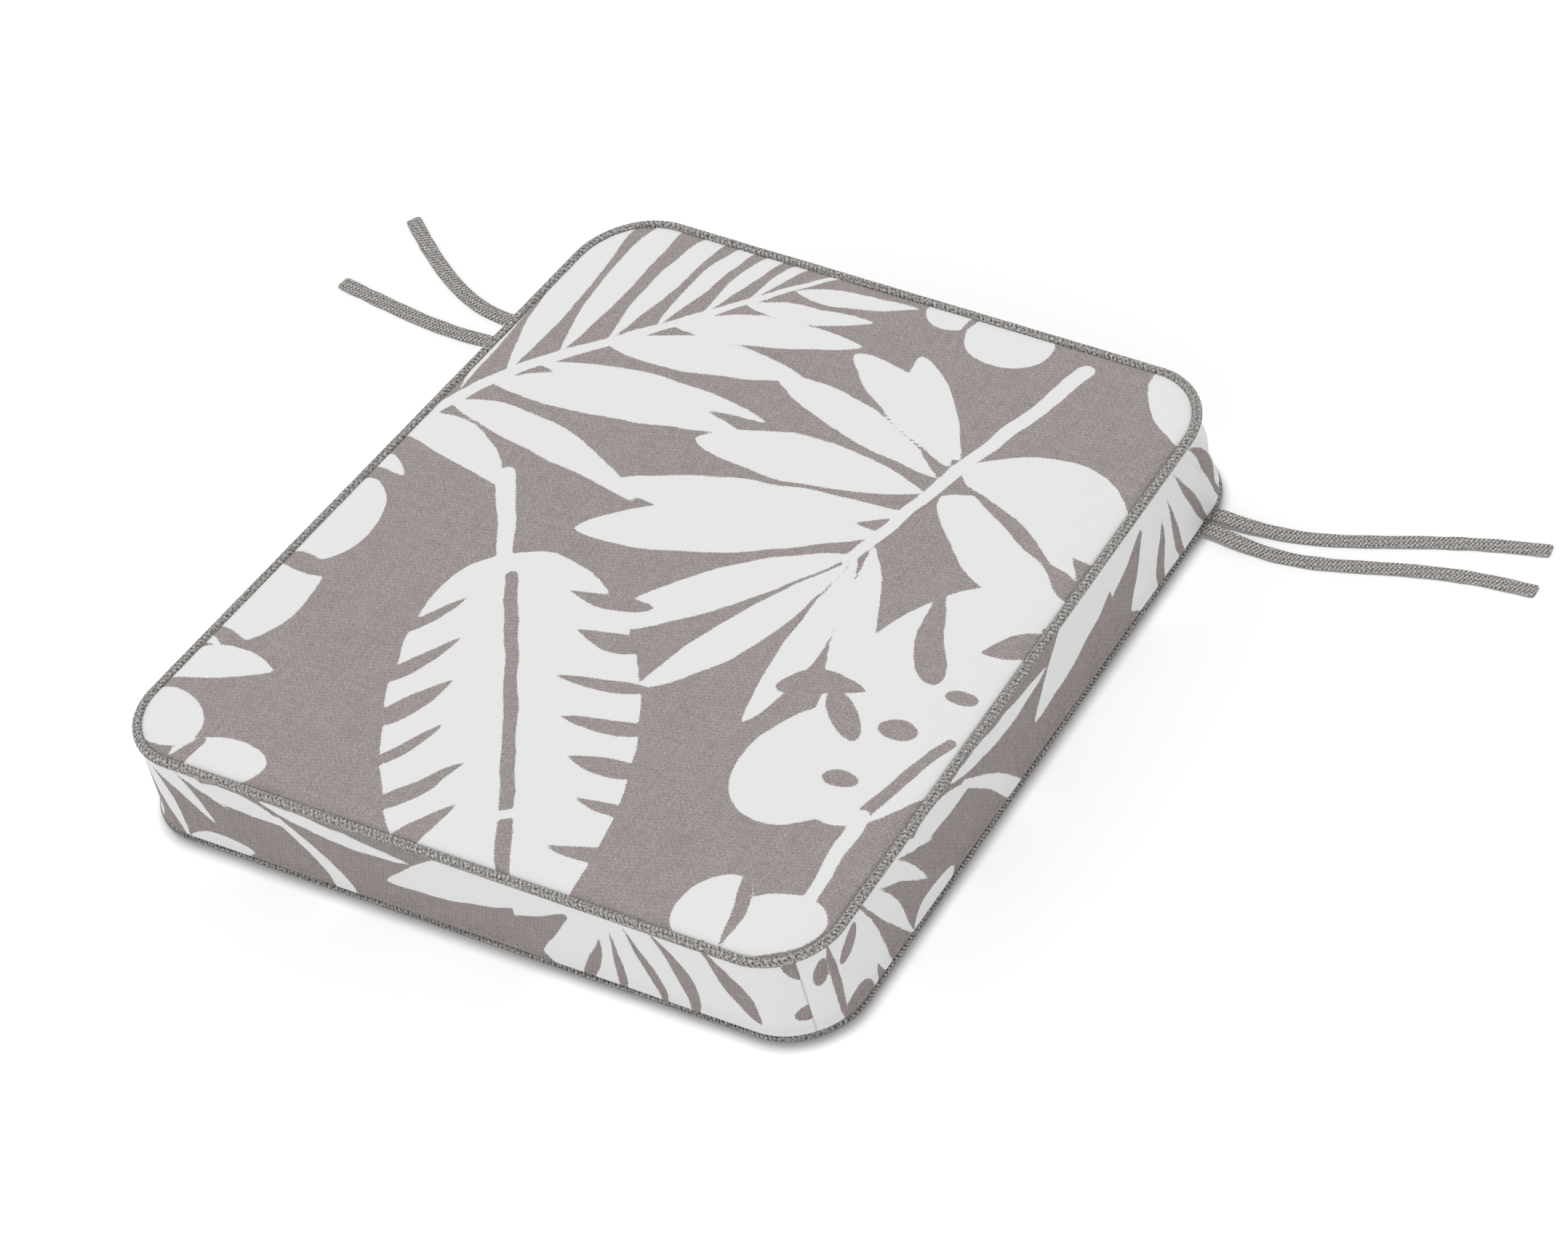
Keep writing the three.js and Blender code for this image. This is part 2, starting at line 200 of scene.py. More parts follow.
# ---- mesh helpers
def new_piece(name, points, faces, material, node=None, uv=None, values=None):
    """A smooth mesh piece of the pad, in place of a CAD node if one is named.

    uv gives each face corner's place on the flat cloth, and values one number for each point.
    """
    mesh = bpy.data.meshes.new(name)
    mesh.from_pydata([tuple(p) for p in points], [], faces)
    mesh.polygons.foreach_set("use_smooth", [True] * len(mesh.polygons))
    if uv is not None:
        layer = mesh.uv_layers.new(name="cloth")
        layer.data.foreach_set("uv", np.asarray(uv, np.float32).ravel())
    for key, value in (values or {}).items():
        mesh.attributes.new(key, "FLOAT", "POINT").data.foreach_set("value", value.astype(np.float32))
    mesh.materials.append(material)
    mesh.validate()
    piece = bpy.data.objects.new(name, mesh)
    bpy.context.scene.collection.objects.link(piece)
    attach(piece, PAD)
    if node:
        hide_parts(node)
    return piece


def grid_faces(rows, columns, flip=False, wrap=False):
    """Quads of a grid of points, as an array of corner numbers."""
    span = columns if wrap else columns - 1
    i, j = np.meshgrid(np.arange(rows - 1), np.arange(span), indexing="ij")
    k = (j + 1) % columns
    quads = np.stack([i * columns + j, i * columns + k, (i + 1) * columns + k, (i + 1) * columns + j], -1)
    quads = quads.reshape(-1, 4)
    return quads[:, ::-1] if flip else quads


def run_along(points):
    """The distance along a line of points to each of them."""
    return np.concatenate([[0], np.cumsum(np.linalg.norm(np.diff(points, axis=0), axis=1))])


def bell(x, reach):
    """1 at x = 0, falling off on both sides."""
    return np.exp(-(x / reach) ** 2)


def circle(sides):
    """A circle of radius 1 as [across, up] pairs."""
    turn = np.linspace(0, 2 * math.pi, sides, endpoint=False)
    return np.stack([np.cos(turn), np.sin(turn)], -1)


def corner_places(run, girth, order):
    """Places of the corners of a tube's quads, along it and round it, as a list of [run, girth]."""
    i, j = np.meshgrid(np.arange(len(run) - 1), np.arange(len(girth) - 1), indexing="ij")
    return np.stack([np.stack([run[i + a], girth[j + b]], -1) for a, b in order], 2).reshape(-1, 2)


def sweep(path, section, up=(0, 0, 1)):
    """A closed section carried along a path with a fixed upward direction, and closed at both ends.

    section is [across, up] pairs, or one such list for each point of the path.
    Gives points, faces and the corners' places: along the path and round the section.
    """
    path = np.asarray(path, float)
    section = np.asarray(section, float)
    if section.ndim == 2:
        section = np.repeat(section[None], len(path), 0)
    ahead = np.gradient(path, axis=0)
    ahead /= np.linalg.norm(ahead, axis=1)[:, None]
    across = np.cross(ahead, np.array(up, float))
    across /= np.linalg.norm(across, axis=1)[:, None]
    above = np.cross(across, ahead)
    rows, sides = section.shape[:2]
    points = path[:, None] + section[..., :1] * across[:, None] + section[..., 1:] * above[:, None]
    faces = grid_faces(rows, sides, wrap=True, flip=True).tolist()
    run = run_along(path)
    girth = run_along(np.concatenate([section[0], section[0, :1]]))
    uv = list(corner_places(run, girth, ((1, 0), (1, 1), (0, 1), (0, 0))))
    for row, turn in ((0, 1), (rows - 1, -1)):
        cap = [row * sides + j for j in range(sides)][::turn]
        faces.append(cap)
        uv += [(run[row] + section[row, c % sides, 1], section[row, c % sides, 0]) for c in cap]
    return points.reshape(-1, 3), faces, uv


def curve_through(points, step):
    """A centripetal Catmull-Rom curve through the points, in steps of about that length."""
    p = np.asarray(points, float)
    p = np.vstack([2 * p[0] - p[1], p, 2 * p[-1] - p[-2]])
    made = []
    for k in range(1, len(p) - 2):
        four = p[k - 1:k + 3]
        gaps = np.linalg.norm(np.diff(four, axis=0), axis=1)
        knots = np.concatenate([[0], np.cumsum(np.sqrt(gaps))])
        count = max(2, int(round(gaps[1] / step)))
        t = np.linspace(knots[1], knots[2], count, endpoint=False)[:, None]

        def between(a, b, low, high):
            return ((knots[high] - t) * a + (t - knots[low]) * b) / (knots[high] - knots[low])

        lines = [between(four[m], four[m + 1], m, m + 1) for m in range(3)]
        bends = [between(lines[m], lines[m + 1], m, m + 2) for m in range(2)]
        made.append(between(bends[0], bends[1], 1, 2))
    return np.vstack(made + [p[-2:-1]])


def waves(points, length, seed):
    """Smooth noise of about that wavelength, around 0, with the same values each run."""
    count = 7
    rng = np.random.default_rng(seed)
    points = np.asarray(points, float)
    total = np.zeros(points.shape[:-1])
    for _ in range(count):
        direction = rng.normal(size=points.shape[-1])
        direction /= np.linalg.norm(direction)
        stretch = 2 * math.pi / (length * rng.uniform(0.7, 1.5))
        total += np.sin(points @ direction * stretch + rng.uniform(0, 2 * math.pi))
    return total / math.sqrt(count * 2)


# ---- materials
class Nodes:
    """Short ways to add and join nodes."""

    def __init__(self, tree):
        self.tree = tree

    def put(self, value, socket):
        if isinstance(value, bpy.types.NodeSocket):
            self.tree.links.new(value, socket)
        elif value is not None:
            socket.default_value = value

    def node(self, kind, inputs=(), **settings):
        made = self.tree.nodes.new(kind)
        for key, value in settings.items():
            setattr(made, key, value)
        for key, value in dict(inputs).items():
            self.put(value, made.inputs[key])
        return made

    def math(self, operation, *values):
        made = self.node("ShaderNodeMath", operation=operation)
        for socket, value in zip(made.inputs, values):
            self.put(value, socket)
        return made.outputs[0]


class Finish(Nodes):
    """A material made of nodes."""

    def __init__(self, name):
        self.material = bpy.data.materials.new(name)
        self.material.use_nodes = True
        super().__init__(self.material.node_tree)
        self.shader = self.tree.nodes["Principled BSDF"]

    def mix(self, share, a, b):
        made = self.node("ShaderNodeMix", data_type="RGBA")
        for key, value in ((0, share), (6, a), (7, b)):
            self.put(value, made.inputs[key])
        return made.outputs[2]

    def attribute(self, name, output="Fac"):
        return self.node("ShaderNodeAttribute", attribute_name=name).outputs[output]

    def combine(self, x, y, z=0.0):
        return self.node("ShaderNodeCombineXYZ", {0: x, 1: y, 2: z}).outputs[0]

    def cloth_place(self):
        """The two coordinates of the flat cloth."""
        return self.node("ShaderNodeSeparateXYZ", {0: self.attribute("cloth", "Vector")}).outputs[:2]

    def noise(self, vector, scale, detail=2.0):
        made = self.node("ShaderNodeTexNoise", {"Vector": vector, "Scale": scale, "Detail": detail})
        return made.outputs["Fac"]

    def white(self, vector):
        return self.node("ShaderNodeTexWhiteNoise", {"Vector": vector}).outputs["Value"]

    def ramp(self, value, stops):
        made = self.node("ShaderNodeValToRGB", {"Fac": value})
        while len(made.color_ramp.elements) < len(stops):
            made.color_ramp.elements.new(0.5)
        for element, (place, colour) in zip(made.color_ramp.elements, stops):
            element.position, element.color = place, (*colour, 1)
        return made.outputs[0]

    def crossing(self, u, v, pitch):
        """A random number for each crossing of a plain weave."""
        cells = [self.math("DIVIDE", self.math(way, u, v), 2 * pitch) for way in ("ADD", "SUBTRACT")]
        return self.white(self.combine(*[self.math("FLOOR", self.math("ADD", cell, 0.5)) for cell in cells]))

    def cosines(self, u, v, terms):
        """A sum of waves, each given as [change of phase along u, along v, strength, phase]."""
        total = 0.0
        for along, aside, strength, phase in terms:
            turn = self.math("MULTIPLY_ADD", u, along, phase)
            turn = self.math("MULTIPLY_ADD", v, aside, turn)
            total = self.math("MULTIPLY_ADD", self.math("COSINE", turn), strength, total)
        return total

    def bump(self, height, distance, strength=1.0):
        made = self.node("ShaderNodeBump", {"Height": height, "Distance": distance, "Strength": strength})
        self.put(made.outputs[0], self.shader.inputs["Normal"])

    def surface(self, colour, roughness, **fixed):
        self.put(colour, self.shader.inputs["Base Color"])
        self.put(roughness, self.shader.inputs["Roughness"])
        for key, value in fixed.items():
            self.shader.inputs[key.replace("_", " ")].default_value = value
        return self.material


CANVAS_REPEAT = 7.87 * MM
# The canvas is a plain weave with a small figure: [across, along, strength, phase], in waves per repeat
CANVAS_WAVES = [(4, 4, 1.0, 0.0), (4, -4, 0.5, 0.0), (3, -1, 0.62, 1.9), (1, -3, 0.55, 4.1),
                (2, 2, 0.35, 2.6), (1, 5, 0.35, 0.8), (5, 1, 0.3, 3.3)]
# The tweed's yarns cross in several directions: [period in mm, direction in degrees, strength, phase]
TIE_WAVES = [(2.36, -25, 1.0, 0.0), (1.9, 46, 0.45, 1.3), (2.9, 12, 0.30, 4.0), (4.2, -82, 0.30, 2.2),
             (1.9, -47, 0.30, 5.1)]
PIPING_WAVES = [(2.7, 25, 1.0, 0.0), (3.6, -88, 0.6, 1.1), (2.0, 49, 0.5, 2.9), (3.0, -49, 0.5, 4.4),
                (4.6, 10, 0.5, 0.7)]


def canvas_finish(name, depth=1.0):
    """Woven canvas in two-tone taupe yarn, with the white print laid over it and painted shade darkening it
    beside the seams; depth darkens the taupe ground, which paints shade on the side strips' copy.
    """
    f = Finish(name)
    u, v = f.cloth_place()
    pace = 2 * math.pi / CANVAS_REPEAT
    total = f.cosines(u, v, [(pace * across, pace * along, strength / 3.6, phase)
                             for across, along, strength, phase in CANVAS_WAVES])
    height = f.math("MULTIPLY_ADD", total, 0.5, 0.5)
    thread = CANVAS_REPEAT / 8
    chance = f.crossing(u, v, thread)
    warp = f.noise(f.combine(f.math("MULTIPLY", u, 1 / thread), f.math("MULTIPLY", v, 35)), 1.0)
    weft = f.noise(f.combine(f.math("MULTIPLY", u, 35), f.math("MULTIPLY", v, 1 / thread), 3.0), 1.0)
    yarn = f.math("ADD", warp, weft)
    tone = f.math("MULTIPLY_ADD", yarn, 0.30, f.math("MULTIPLY", height, 0.50))
    tone = f.math("MULTIPLY_ADD", chance, 0.16, tone)
    stops = [(0.35, (0.205, 0.174, 0.167)), (0.62, (0.292, 0.257, 0.249)), (0.90, (0.400, 0.366, 0.356))]
    taupe = f.ramp(tone, [(place, tuple(c * depth for c in colour)) for place, colour in stops])
    pale = f.ramp(tone, [(0.3, (0.70, 0.70, 0.698)), (0.9, (0.725, 0.725, 0.723))])
    fine = f.noise(f.combine(u, v), 1300, 1.0)
    ragged = f.math("MULTIPLY_ADD", f.math("SUBTRACT", height, 0.5), -0.8 * MM, f.attribute("print"))
    ragged = f.math("MULTIPLY_ADD", f.math("SUBTRACT", fine, 0.5), 1.0 * MM, ragged)
    ink = f.math("SUBTRACT", 0.5, f.math("DIVIDE", ragged, 0.65 * MM))
    ink = f.node("ShaderNodeClamp", {"Value": ink}).outputs[0]
    colour = f.mix(ink, taupe, pale)
    # Painted shade: the colour is multiplied down to 0.42 at a seam and back to full 1.1 mm away, standing
    # in for the shade of the groove beside the piping
    painted_seam_shade = f.node("ShaderNodeMapRange", {"Value": f.attribute("seam"), "From Min": 0.0,
                                           "From Max": 1.1 * MM, "To Min": 0.42, "To Max": 1.0}).outputs[0]
    colour = f.node("ShaderNodeMix", {0: 1.0, 6: colour, 7: f.combine(painted_seam_shade, painted_seam_shade, painted_seam_shade)},
                    data_type="RGBA", blend_type="MULTIPLY").outputs[2]
    f.bump(f.math("MULTIPLY", height, f.math("MULTIPLY_ADD", ink, -0.75, 1.0)), 0.18 * MM)
    return f.surface(colour, 0.92, Specular_IOR_Level=0.18, Sheen_Weight=0.06, Sheen_Roughness=0.6)


def tweed_finish(name, threads, depth=1.0, size=1.0, regular=0.14, heather=1.0):
    """Heather tweed: crossing waves of cream and charcoal yarn, which wander and vary a little."""
    f = Finish(name)
    u, v = f.cloth_place()
    wander = f.math("SUBTRACT", f.noise(f.combine(u, v), 80, 1.0), 0.5)
    u = f.math("MULTIPLY_ADD", wander, 1.4 * MM, u)
    v = f.math("MULTIPLY_ADD", wander, -1.0 * MM, v)
    terms = []
    for period, direction, strength, phase in threads:
        pace, way = 2 * math.pi / (period * size * MM), math.radians(direction)
        terms.append((pace * math.cos(way), pace * math.sin(way), strength, phase))
    total = f.cosines(u, v, terms)
    yarn = f.math("SUBTRACT", f.noise(f.combine(u, v), 760, 2.0), 0.5)
    tone = f.math("MULTIPLY_ADD", total, regular, 0.5)
    tone = f.math("MULTIPLY_ADD", yarn, heather, tone)
    stops = [(0.15, 0.058), (0.36, 0.165), (0.5, 0.285), (0.63, 0.39), (0.85, 0.66)]
    colour = f.ramp(tone, [(place, (grey * depth * 1.03, grey * depth * 0.99, grey * depth * 0.95))
                           for place, grey in stops])
    f.bump(tone, 0.7 * MM)
    return f.surface(colour, 0.95, Specular_IOR_Level=0.15, Sheen_Weight=0.05, Sheen_Roughness=0.5)


def plain_finish(name, dark, light, scale, roughness, bump=0.1 * MM, **fixed):
    """A mottled surface for the pieces that the cover hides, and for the zipper."""
    f = Finish(name)
    place = f.node("ShaderNodeTexCoord").outputs["Object"]
    grain = f.noise(place, scale, 4.0)
    f.bump(grain, bump)
    return f.surface(f.ramp(grain, [(0.3, dark), (0.7, light)]), roughness, **fixed)


def tape_finish():
    """Herringbone zipper tape."""
    f = Finish("tape_twill")
    place = f.node("ShaderNodeSeparateXYZ", {0: f.node("ShaderNodeTexCoord").outputs["Object"]})
    x, z = place.outputs[0], place.outputs[2]
    fold = f.math("PINGPONG", z, 1.6 * MM)
    ribs = f.math("SINE", f.math("MULTIPLY", f.math("ADD", x, fold), 2 * math.pi / (0.9 * MM)))
    rib = f.math("MULTIPLY_ADD", ribs, 0.5, 0.5)
    f.bump(rib, 0.12 * MM)
    colour = f.ramp(rib, [(0.1, (0.20, 0.175, 0.165)), (0.9, (0.34, 0.31, 0.295))])
    return f.surface(colour, 0.9, Specular_IOR_Level=0.2)


# ---- the leaf print
class Leafwork:
    """A print drawn as signed distances in millimetres: below 0 is white."""

    def __init__(self, xy, seed):
        wobble = np.stack([waves(xy, 34, seed), waves(xy, 34, seed + 1)], -1)
        fine = np.stack([waves(xy, 8, seed + 2), waves(xy, 8, seed + 3)], -1)
        self.p = xy + 0.7 * wobble + 0.22 * fine
        self.d = np.full(xy.shape[:-1], 60.0)

    def add(self, shape):
        self.d = np.minimum(self.d, shape)

    def cut(self, shape):
        self.d = np.maximum(self.d, -shape)

    def blade(self, base, tip, width, bend=0.0, fullest=0.45, blunt=0.8):
        """A leaflet: pointed at both ends, widest at a share of its length, bowed by bend."""
        base, axis = np.array(base, float), np.subtract(tip, base)
        length = np.hypot(*axis)
        axis = axis / length
        along = (self.p - base) @ axis / length
        aside = (self.p - base) @ np.array([-axis[1], axis[0]])
        share = np.clip(along, 0, 1)
        half = width / 2 * np.sin(math.pi * share ** (math.log(0.5) / math.log(fullest))) ** blunt
        return np.hypot(aside - 4 * bend * share * (1 - share), (along - share) * length) - half

    def stalk(self, points, start, stop):
        """A line through the points with its width going from start to stop."""
        points = np.array(points, float)
        total = np.full(self.d.shape, 99.0)
        widths = np.linspace(start, stop, len(points)) / 2
        for a, b, wide, thin in zip(points, points[1:], widths, widths[1:]):
            axis = b - a
            share = np.clip((self.p - a) @ axis / (axis @ axis), 0, 1)
            gap = np.linalg.norm(self.p - a - share[..., None] * axis, axis=-1)
            total = np.minimum(total, gap - (wide + (thin - wide) * share))
        return total

    def oval(self, centre, long, short, turn):
        """An ellipse; its distance is good near the edge."""
        c, s = math.cos(math.radians(turn)), math.sin(math.radians(turn))
        q = self.p - np.array(centre, float)
        x, y = q @ np.array([c, s]), q @ np.array([-s, c])
        reach = np.hypot(x / long, y / short)
        slope = np.hypot(x / long ** 2, y / short ** 2)
        return reach * (reach - 1) / np.maximum(slope, 1e-6)

    def blades(self, leaves, fullest=0.45, blunt=0.8):
        """Adds leaflets given as [base, tip, width, bend]."""
        for leaf in leaves:
            self.add(self.blade(*leaf, fullest, blunt))

    def ovals(self, shapes):
        """Adds ovals given as [centre, long, short, turn]."""
        for shape in shapes:
            self.add(self.oval(*shape))

    def holes(self, shapes):
        """Cuts out ovals given in the same way."""
        for shape in shapes:
            self.cut(self.oval(*shape))

    def torn_leaf(self, base, tip, width, bend, tears, slit):
        """A banana leaf: one broad blade, a slit along its rib and wedge tears from both margins."""
        self.add(self.blade(base, tip, width, bend, fullest=0.47, blunt=0.42))
        base, axis = np.array(base, float), np.subtract(tip, base)
        length = np.hypot(*axis)
        axis = axis / length
        side = np.array([-axis[1], axis[0]])
        for k in range(tears):
            for sign in (-1, 1):
                share = 0.13 + 0.78 * (k + 0.25 * (sign > 0)) / tears
                inward = 0.30 + 0.22 * ((k * 5 + (sign > 0) * 2) % 4) / 4
                bow = 4 * bend * share * (1 - share)
                rim = base + axis * length * (share + 0.055) + side * (bow + sign * width * 0.56)
                end = base + axis * length * (share - 0.03) + side * (bow + sign * width * inward * 0.55)
                self.cut(self.blade(rim, end, 9 + 3 * ((k + (sign > 0)) % 3), sign * 2.5, fullest=0.4))
        steps = np.linspace(0.06, 0.9, 12)
        line = [base + axis * length * t + side * 4 * bend * t * (1 - t) for t in steps]
        self.cut(self.stalk(line, *slit))
        joint = base + axis * length * 0.70 + side * 4 * bend * 0.70 * 0.30
        self.add(self.stalk([joint - side * 7, joint + side * 7], 7, 7))


def top_print(xy):
    """The leaves of the top panel."""
    w = Leafwork(xy, 11)
    # A feather palm from the left edge to the rear one
    rib = curve_through(np.array([(-226, 52), (-196, 98), (-156, 138), (-108, 184), (-52, 243)], float), 6)
    w.add(w.stalk(rib, 10, 4))
    w.blades([((-70, 219), (10, 234), 15, -1), ((-91, 199), (-8, 213), 15, -2),
              ((-122, 168), (-2, 192), 25, 3), ((-150, 140), (-18, 156), 29, 4),
              ((-182, 110), (-20, 118), 18, 5), ((-200, 88), (-30, 104), 31, 6),
              ((-216, 66), (-58, 34), 25, 7), ((-225, 50), (-142, 16), 25, 4)], fullest=0.42)
    w.blades([((-198, 96), (-210, 286), 27, 3), ((-176, 122), (-174, 282), 22, 3),
              ((-154, 142), (-138, 276), 18, 2), ((-133, 162), (-114, 270), 14, 2),
              ((-112, 183), (-92, 268), 12, 1), ((-92, 203), (-72, 262), 9, 1),
              ((-218, 74), (-226, 214), 9, 1)], fullest=0.5)

    # A fan palm, its stalk to the rear right corner
    w.blades([((106, 132), (34, 198), 27, 4), ((104, 126), (-4, 186), 29, -5),
              ((102, 116), (-40, 154), 25, -3), ((100, 102), (-54, 92), 37, -3),
              ((102, 84), (-80, 44), 35, 5), ((97, 64), (-80, 2), 42, -4),
              ((90, 44), (-22, -64), 34, -4), ((91, 38), (32, -92), 29, 4), ((94, 44), (106, -92), 25, 4),
              ((98, 56), (146, -66), 24, 3)], fullest=0.56, blunt=0.66)
    w.blades([((112, 128), (236, 104), 62, 10), ((112, 104), (232, 44), 56, 8)], fullest=0.55, blunt=0.55)
    w.add(w.stalk([(133, 224), (129, 196), (119, 160), (110, 128), (103, 98), (90, 40)], 12, 8))
    w.cut(w.blade((114, 118), (206, 78), 9, 3, fullest=0.6))
    w.cut(w.blade((112, 96), (166, 30), 10, -3, fullest=0.6))
    w.cut(w.blade((190, 84), (236, 64), 14, 0, fullest=0.7))

    # A holed leaf at the right
    w.ovals([((186, -22), 78, 50, 78), ((164, -104), 52, 42, 62), ((204, -84), 58, 34, 76)])
    w.cut(w.blade((108, -60), (160, -46), 20, 5, fullest=0.35))
    w.holes([((214, -28), 10, 5, 8), ((194, -64), 13, 8, 6), ((184, -108), 12, 6, 4),
             ((158, -66), 22, 8, -38)])
    w.cut(w.blade((194, -26), (156, 44), 19, 6, fullest=0.3))
    w.cut(w.blade((238, 40), (204, 6), 18, 3, fullest=0.5))
    w.cut(w.stalk([(226, -60), (219, -88), (212, -124)], 7, 9))
    w.add(w.stalk([(212, -128), (216, -168), (222, -204)], 10, 9))
    w.cut(w.blade((232, -126), (226, -196), 18, 2, fullest=0.5))

    # A banana leaf in front
    w.add(w.stalk([(-146, 24), (-122, -8), (-97, -46)], 12, 10))
    w.torn_leaf((-104, -30), (64, -282), 152, 4, 7, (8, 9))

    # Parts of other leaves that the edges cut off
    w.ovals([((-222, -42), 36, 26, 96), ((-230, -112), 44, 32, 80)])
    w.cut(w.blade((-250, -74), (-180, -82), 13, -3))
    w.cut(w.blade((-176, -176), (-252, -140), 16, -4, fullest=0.35))
    w.blades([((-256, -184), (-182, -162), 28, 6)])
    w.ovals([((-224, -214), 30, 19, -20), ((-172, -232), 32, 16, 10)])
    w.cut(w.stalk([(-190, -224), (-200, -246)], 6, 12))
    w.blades([((-254, 46), (-140, 14), 26, 8), ((-252, 14), (-204, 2), 12, 2)])
    w.ovals([((32, 242), 20, 18, 0), ((76, 230), 30, 22, -8)])
    w.cut(w.blade((46, 250), (44, 222), 5, 0))
    w.blades([((172, 246), (224, 190), 30, 3)])
    w.ovals([((170, -218), 26, 20, 70), ((206, -218), 36, 22, 30)])
    w.cut(w.blade((176, -190), (190, -244), 9, 4, fullest=0.35))
    return w.d


def boxing_print(xy):
    """The leaves along a side strip: x runs along it, y is up from its middle."""
    w = Leafwork(xy, 31)
    # A holed leaf before the seam
    w.add(w.oval((-52, 2), 56, 52, 0))
    w.holes([((-41, 12), 9, 5, 70), ((-18, 15), 12, 5, 40), ((-22, -26), 13, 9, 10)])
    w.cut(w.blade((-33, 30), (-36, -36), 6, 1))
    # Palm leaflets and a long leaf with its stalk
    w.blades([((-4, 40), (34, -30), 15, 5), ((2, 38), (60, -10), 13, 6), ((12, 40), (74, 8), 9, 3),
              ((-8, 30), (8, -44), 13, 3), ((50, 19), (120, 9), 15, 3), ((100, 25), (208, 15), 11, -3),
              ((24, -44), (84, -24), 20, 5)])
    w.add(w.stalk([(112, 14), (124, 4), (140, -12), (156, -36)], 5, 13))
    # A half leaf at the upper edge, then a fan with slits
    w.add(w.blade((184, -8), (330, 30), 34, 7, fullest=0.5))
    w.add(w.oval((420, 4), 142, 60, 0))
    w.cut(w.stalk([(250, -38), (318, 16)], 50, 4))
    for slit in [((340, 10), (316, -38), 9, 2), ((348, 16), (347, -38), 7, 1), ((357, 26), (378, -36), 8, 3),
                 ((376, 30), (398, -34), 12, 8), ((412, 32), (444, -22), 14, 2)]:
        w.cut(w.blade(*slit, fullest=0.62))
    w.holes([((475, -13), 10, 5.5, 12), ((478, 30), 13, 17, 0)])
    return w.d


# ---- the cover's shape
# Cells across the blown-up cover, rows down its sides, and fine cells to each of its cells
GRID = 64
SIDE_ROWS = 8
FINE = 4
# How high the top may rise, and how far the sides may stand out
TOP_CROWN = 3.0 * MM
SIDE_BULGE = 1.6 * MM
# A panel ends this far inside the edge, curving down to the piping by the tuck and the crease
PANEL_INSET = 1.9 * MM
TUCK, TUCK_REACH = 2.6 * MM, 5.0 * MM
CREASE = 0.9 * MM
# The top panel's height over the piping's middle, and the bottom panel's over the floor
TOP_LIFT = 3.3 * MM
BOTTOM_LIFT = 0.1 * MM
# A side strip ends this far from the piping's middle, and comes out from behind it by so much
STRIP_END = 1.2 * MM
STRIP_OUT, STRIP_REACH, STRIP_BEHIND = 1.3 * MM, 1.8 * MM, 0.8 * MM
# The swell of a side strip over the lower piping: how far out, how high up and how tall
SWELL, SWELL_UP, SWELL_REACH = 1.5 * MM, 2.6 * MM, 3.6 * MM
# The dip of a strip's end at the seam between two strips
SEAM_DIP, SEAM_REACH = 0.45 * MM, 0.6 * MM


def panel_plan(cells, inset):
    """Points of the plan in a square grid whose corners lie in the middle of the rounded corners."""
    c = MIDDLES + [MIDDLES[0] + PERIMETER]
    sides = [edge(np.linspace(c[k], c[k + 1], cells + 1), inset)[0] for k in range(4)]
    front, right, rear, left = sides[0], sides[1], sides[2][::-1], sides[3][::-1]
    t = np.linspace(0, 1, cells + 1)
    u, v = np.meshgrid(t, t)
    u, v = u[..., None], v[..., None]
    ruled = (1 - v) * front[None] + v * rear[None] + (1 - u) * left[:, None] + u * right[:, None]
    corners = ((1 - u) * (1 - v) * front[0] + u * (1 - v) * front[-1]
               + (1 - u) * v * rear[0] + u * v * rear[-1])
    return ruled - corners


def rim_numbers(cells):
    """The numbers of a grid's edge points, anticlockwise from its first corner."""
    n = cells + 1
    index = np.arange(n * n).reshape(n, n)
    return np.concatenate([index[0, :-1], index[:-1, -1], index[-1, :0:-1], index[:0:-1, 0]])


def closed_faces(cells, rings):
    """Faces of a closed form, and its loops of points from the top panel's rim to the bottom one's.

    The points are a top panel, the same panel below it, and then rings of points between the two.
    """
    n = cells + 1
    rim = rim_numbers(cells)
    loops = [rim] + [2 * n * n + k * len(rim) + np.arange(len(rim)) for k in range(rings)] + [rim + n * n]
    faces = [grid_faces(n, n), grid_faces(n, n, flip=True) + n * n]
    for above, below in zip(loops, loops[1:]):
        faces.append(np.stack([below, np.roll(below, -1), np.roll(above, -1), above], -1))
    return np.concatenate(faces).tolist(), loops


def rim_distances(cells):
    """Distance along the edge of each rim point of a grid."""
    c = MIDDLES + [MIDDLES[0] + PERIMETER]
    return np.concatenate([np.linspace(c[k], c[k + 1], cells, endpoint=False) for k in range(4)])


CLOTH = {"quality": 6, "mass": 0.25, "tension_stiffness": 25, "compression_stiffness": 25,
         "shear_stiffness": 12, "bending_stiffness": 0.6, "use_pressure": True,
         "uniform_pressure_force": 4}
CLOTH_FRAMES = 20


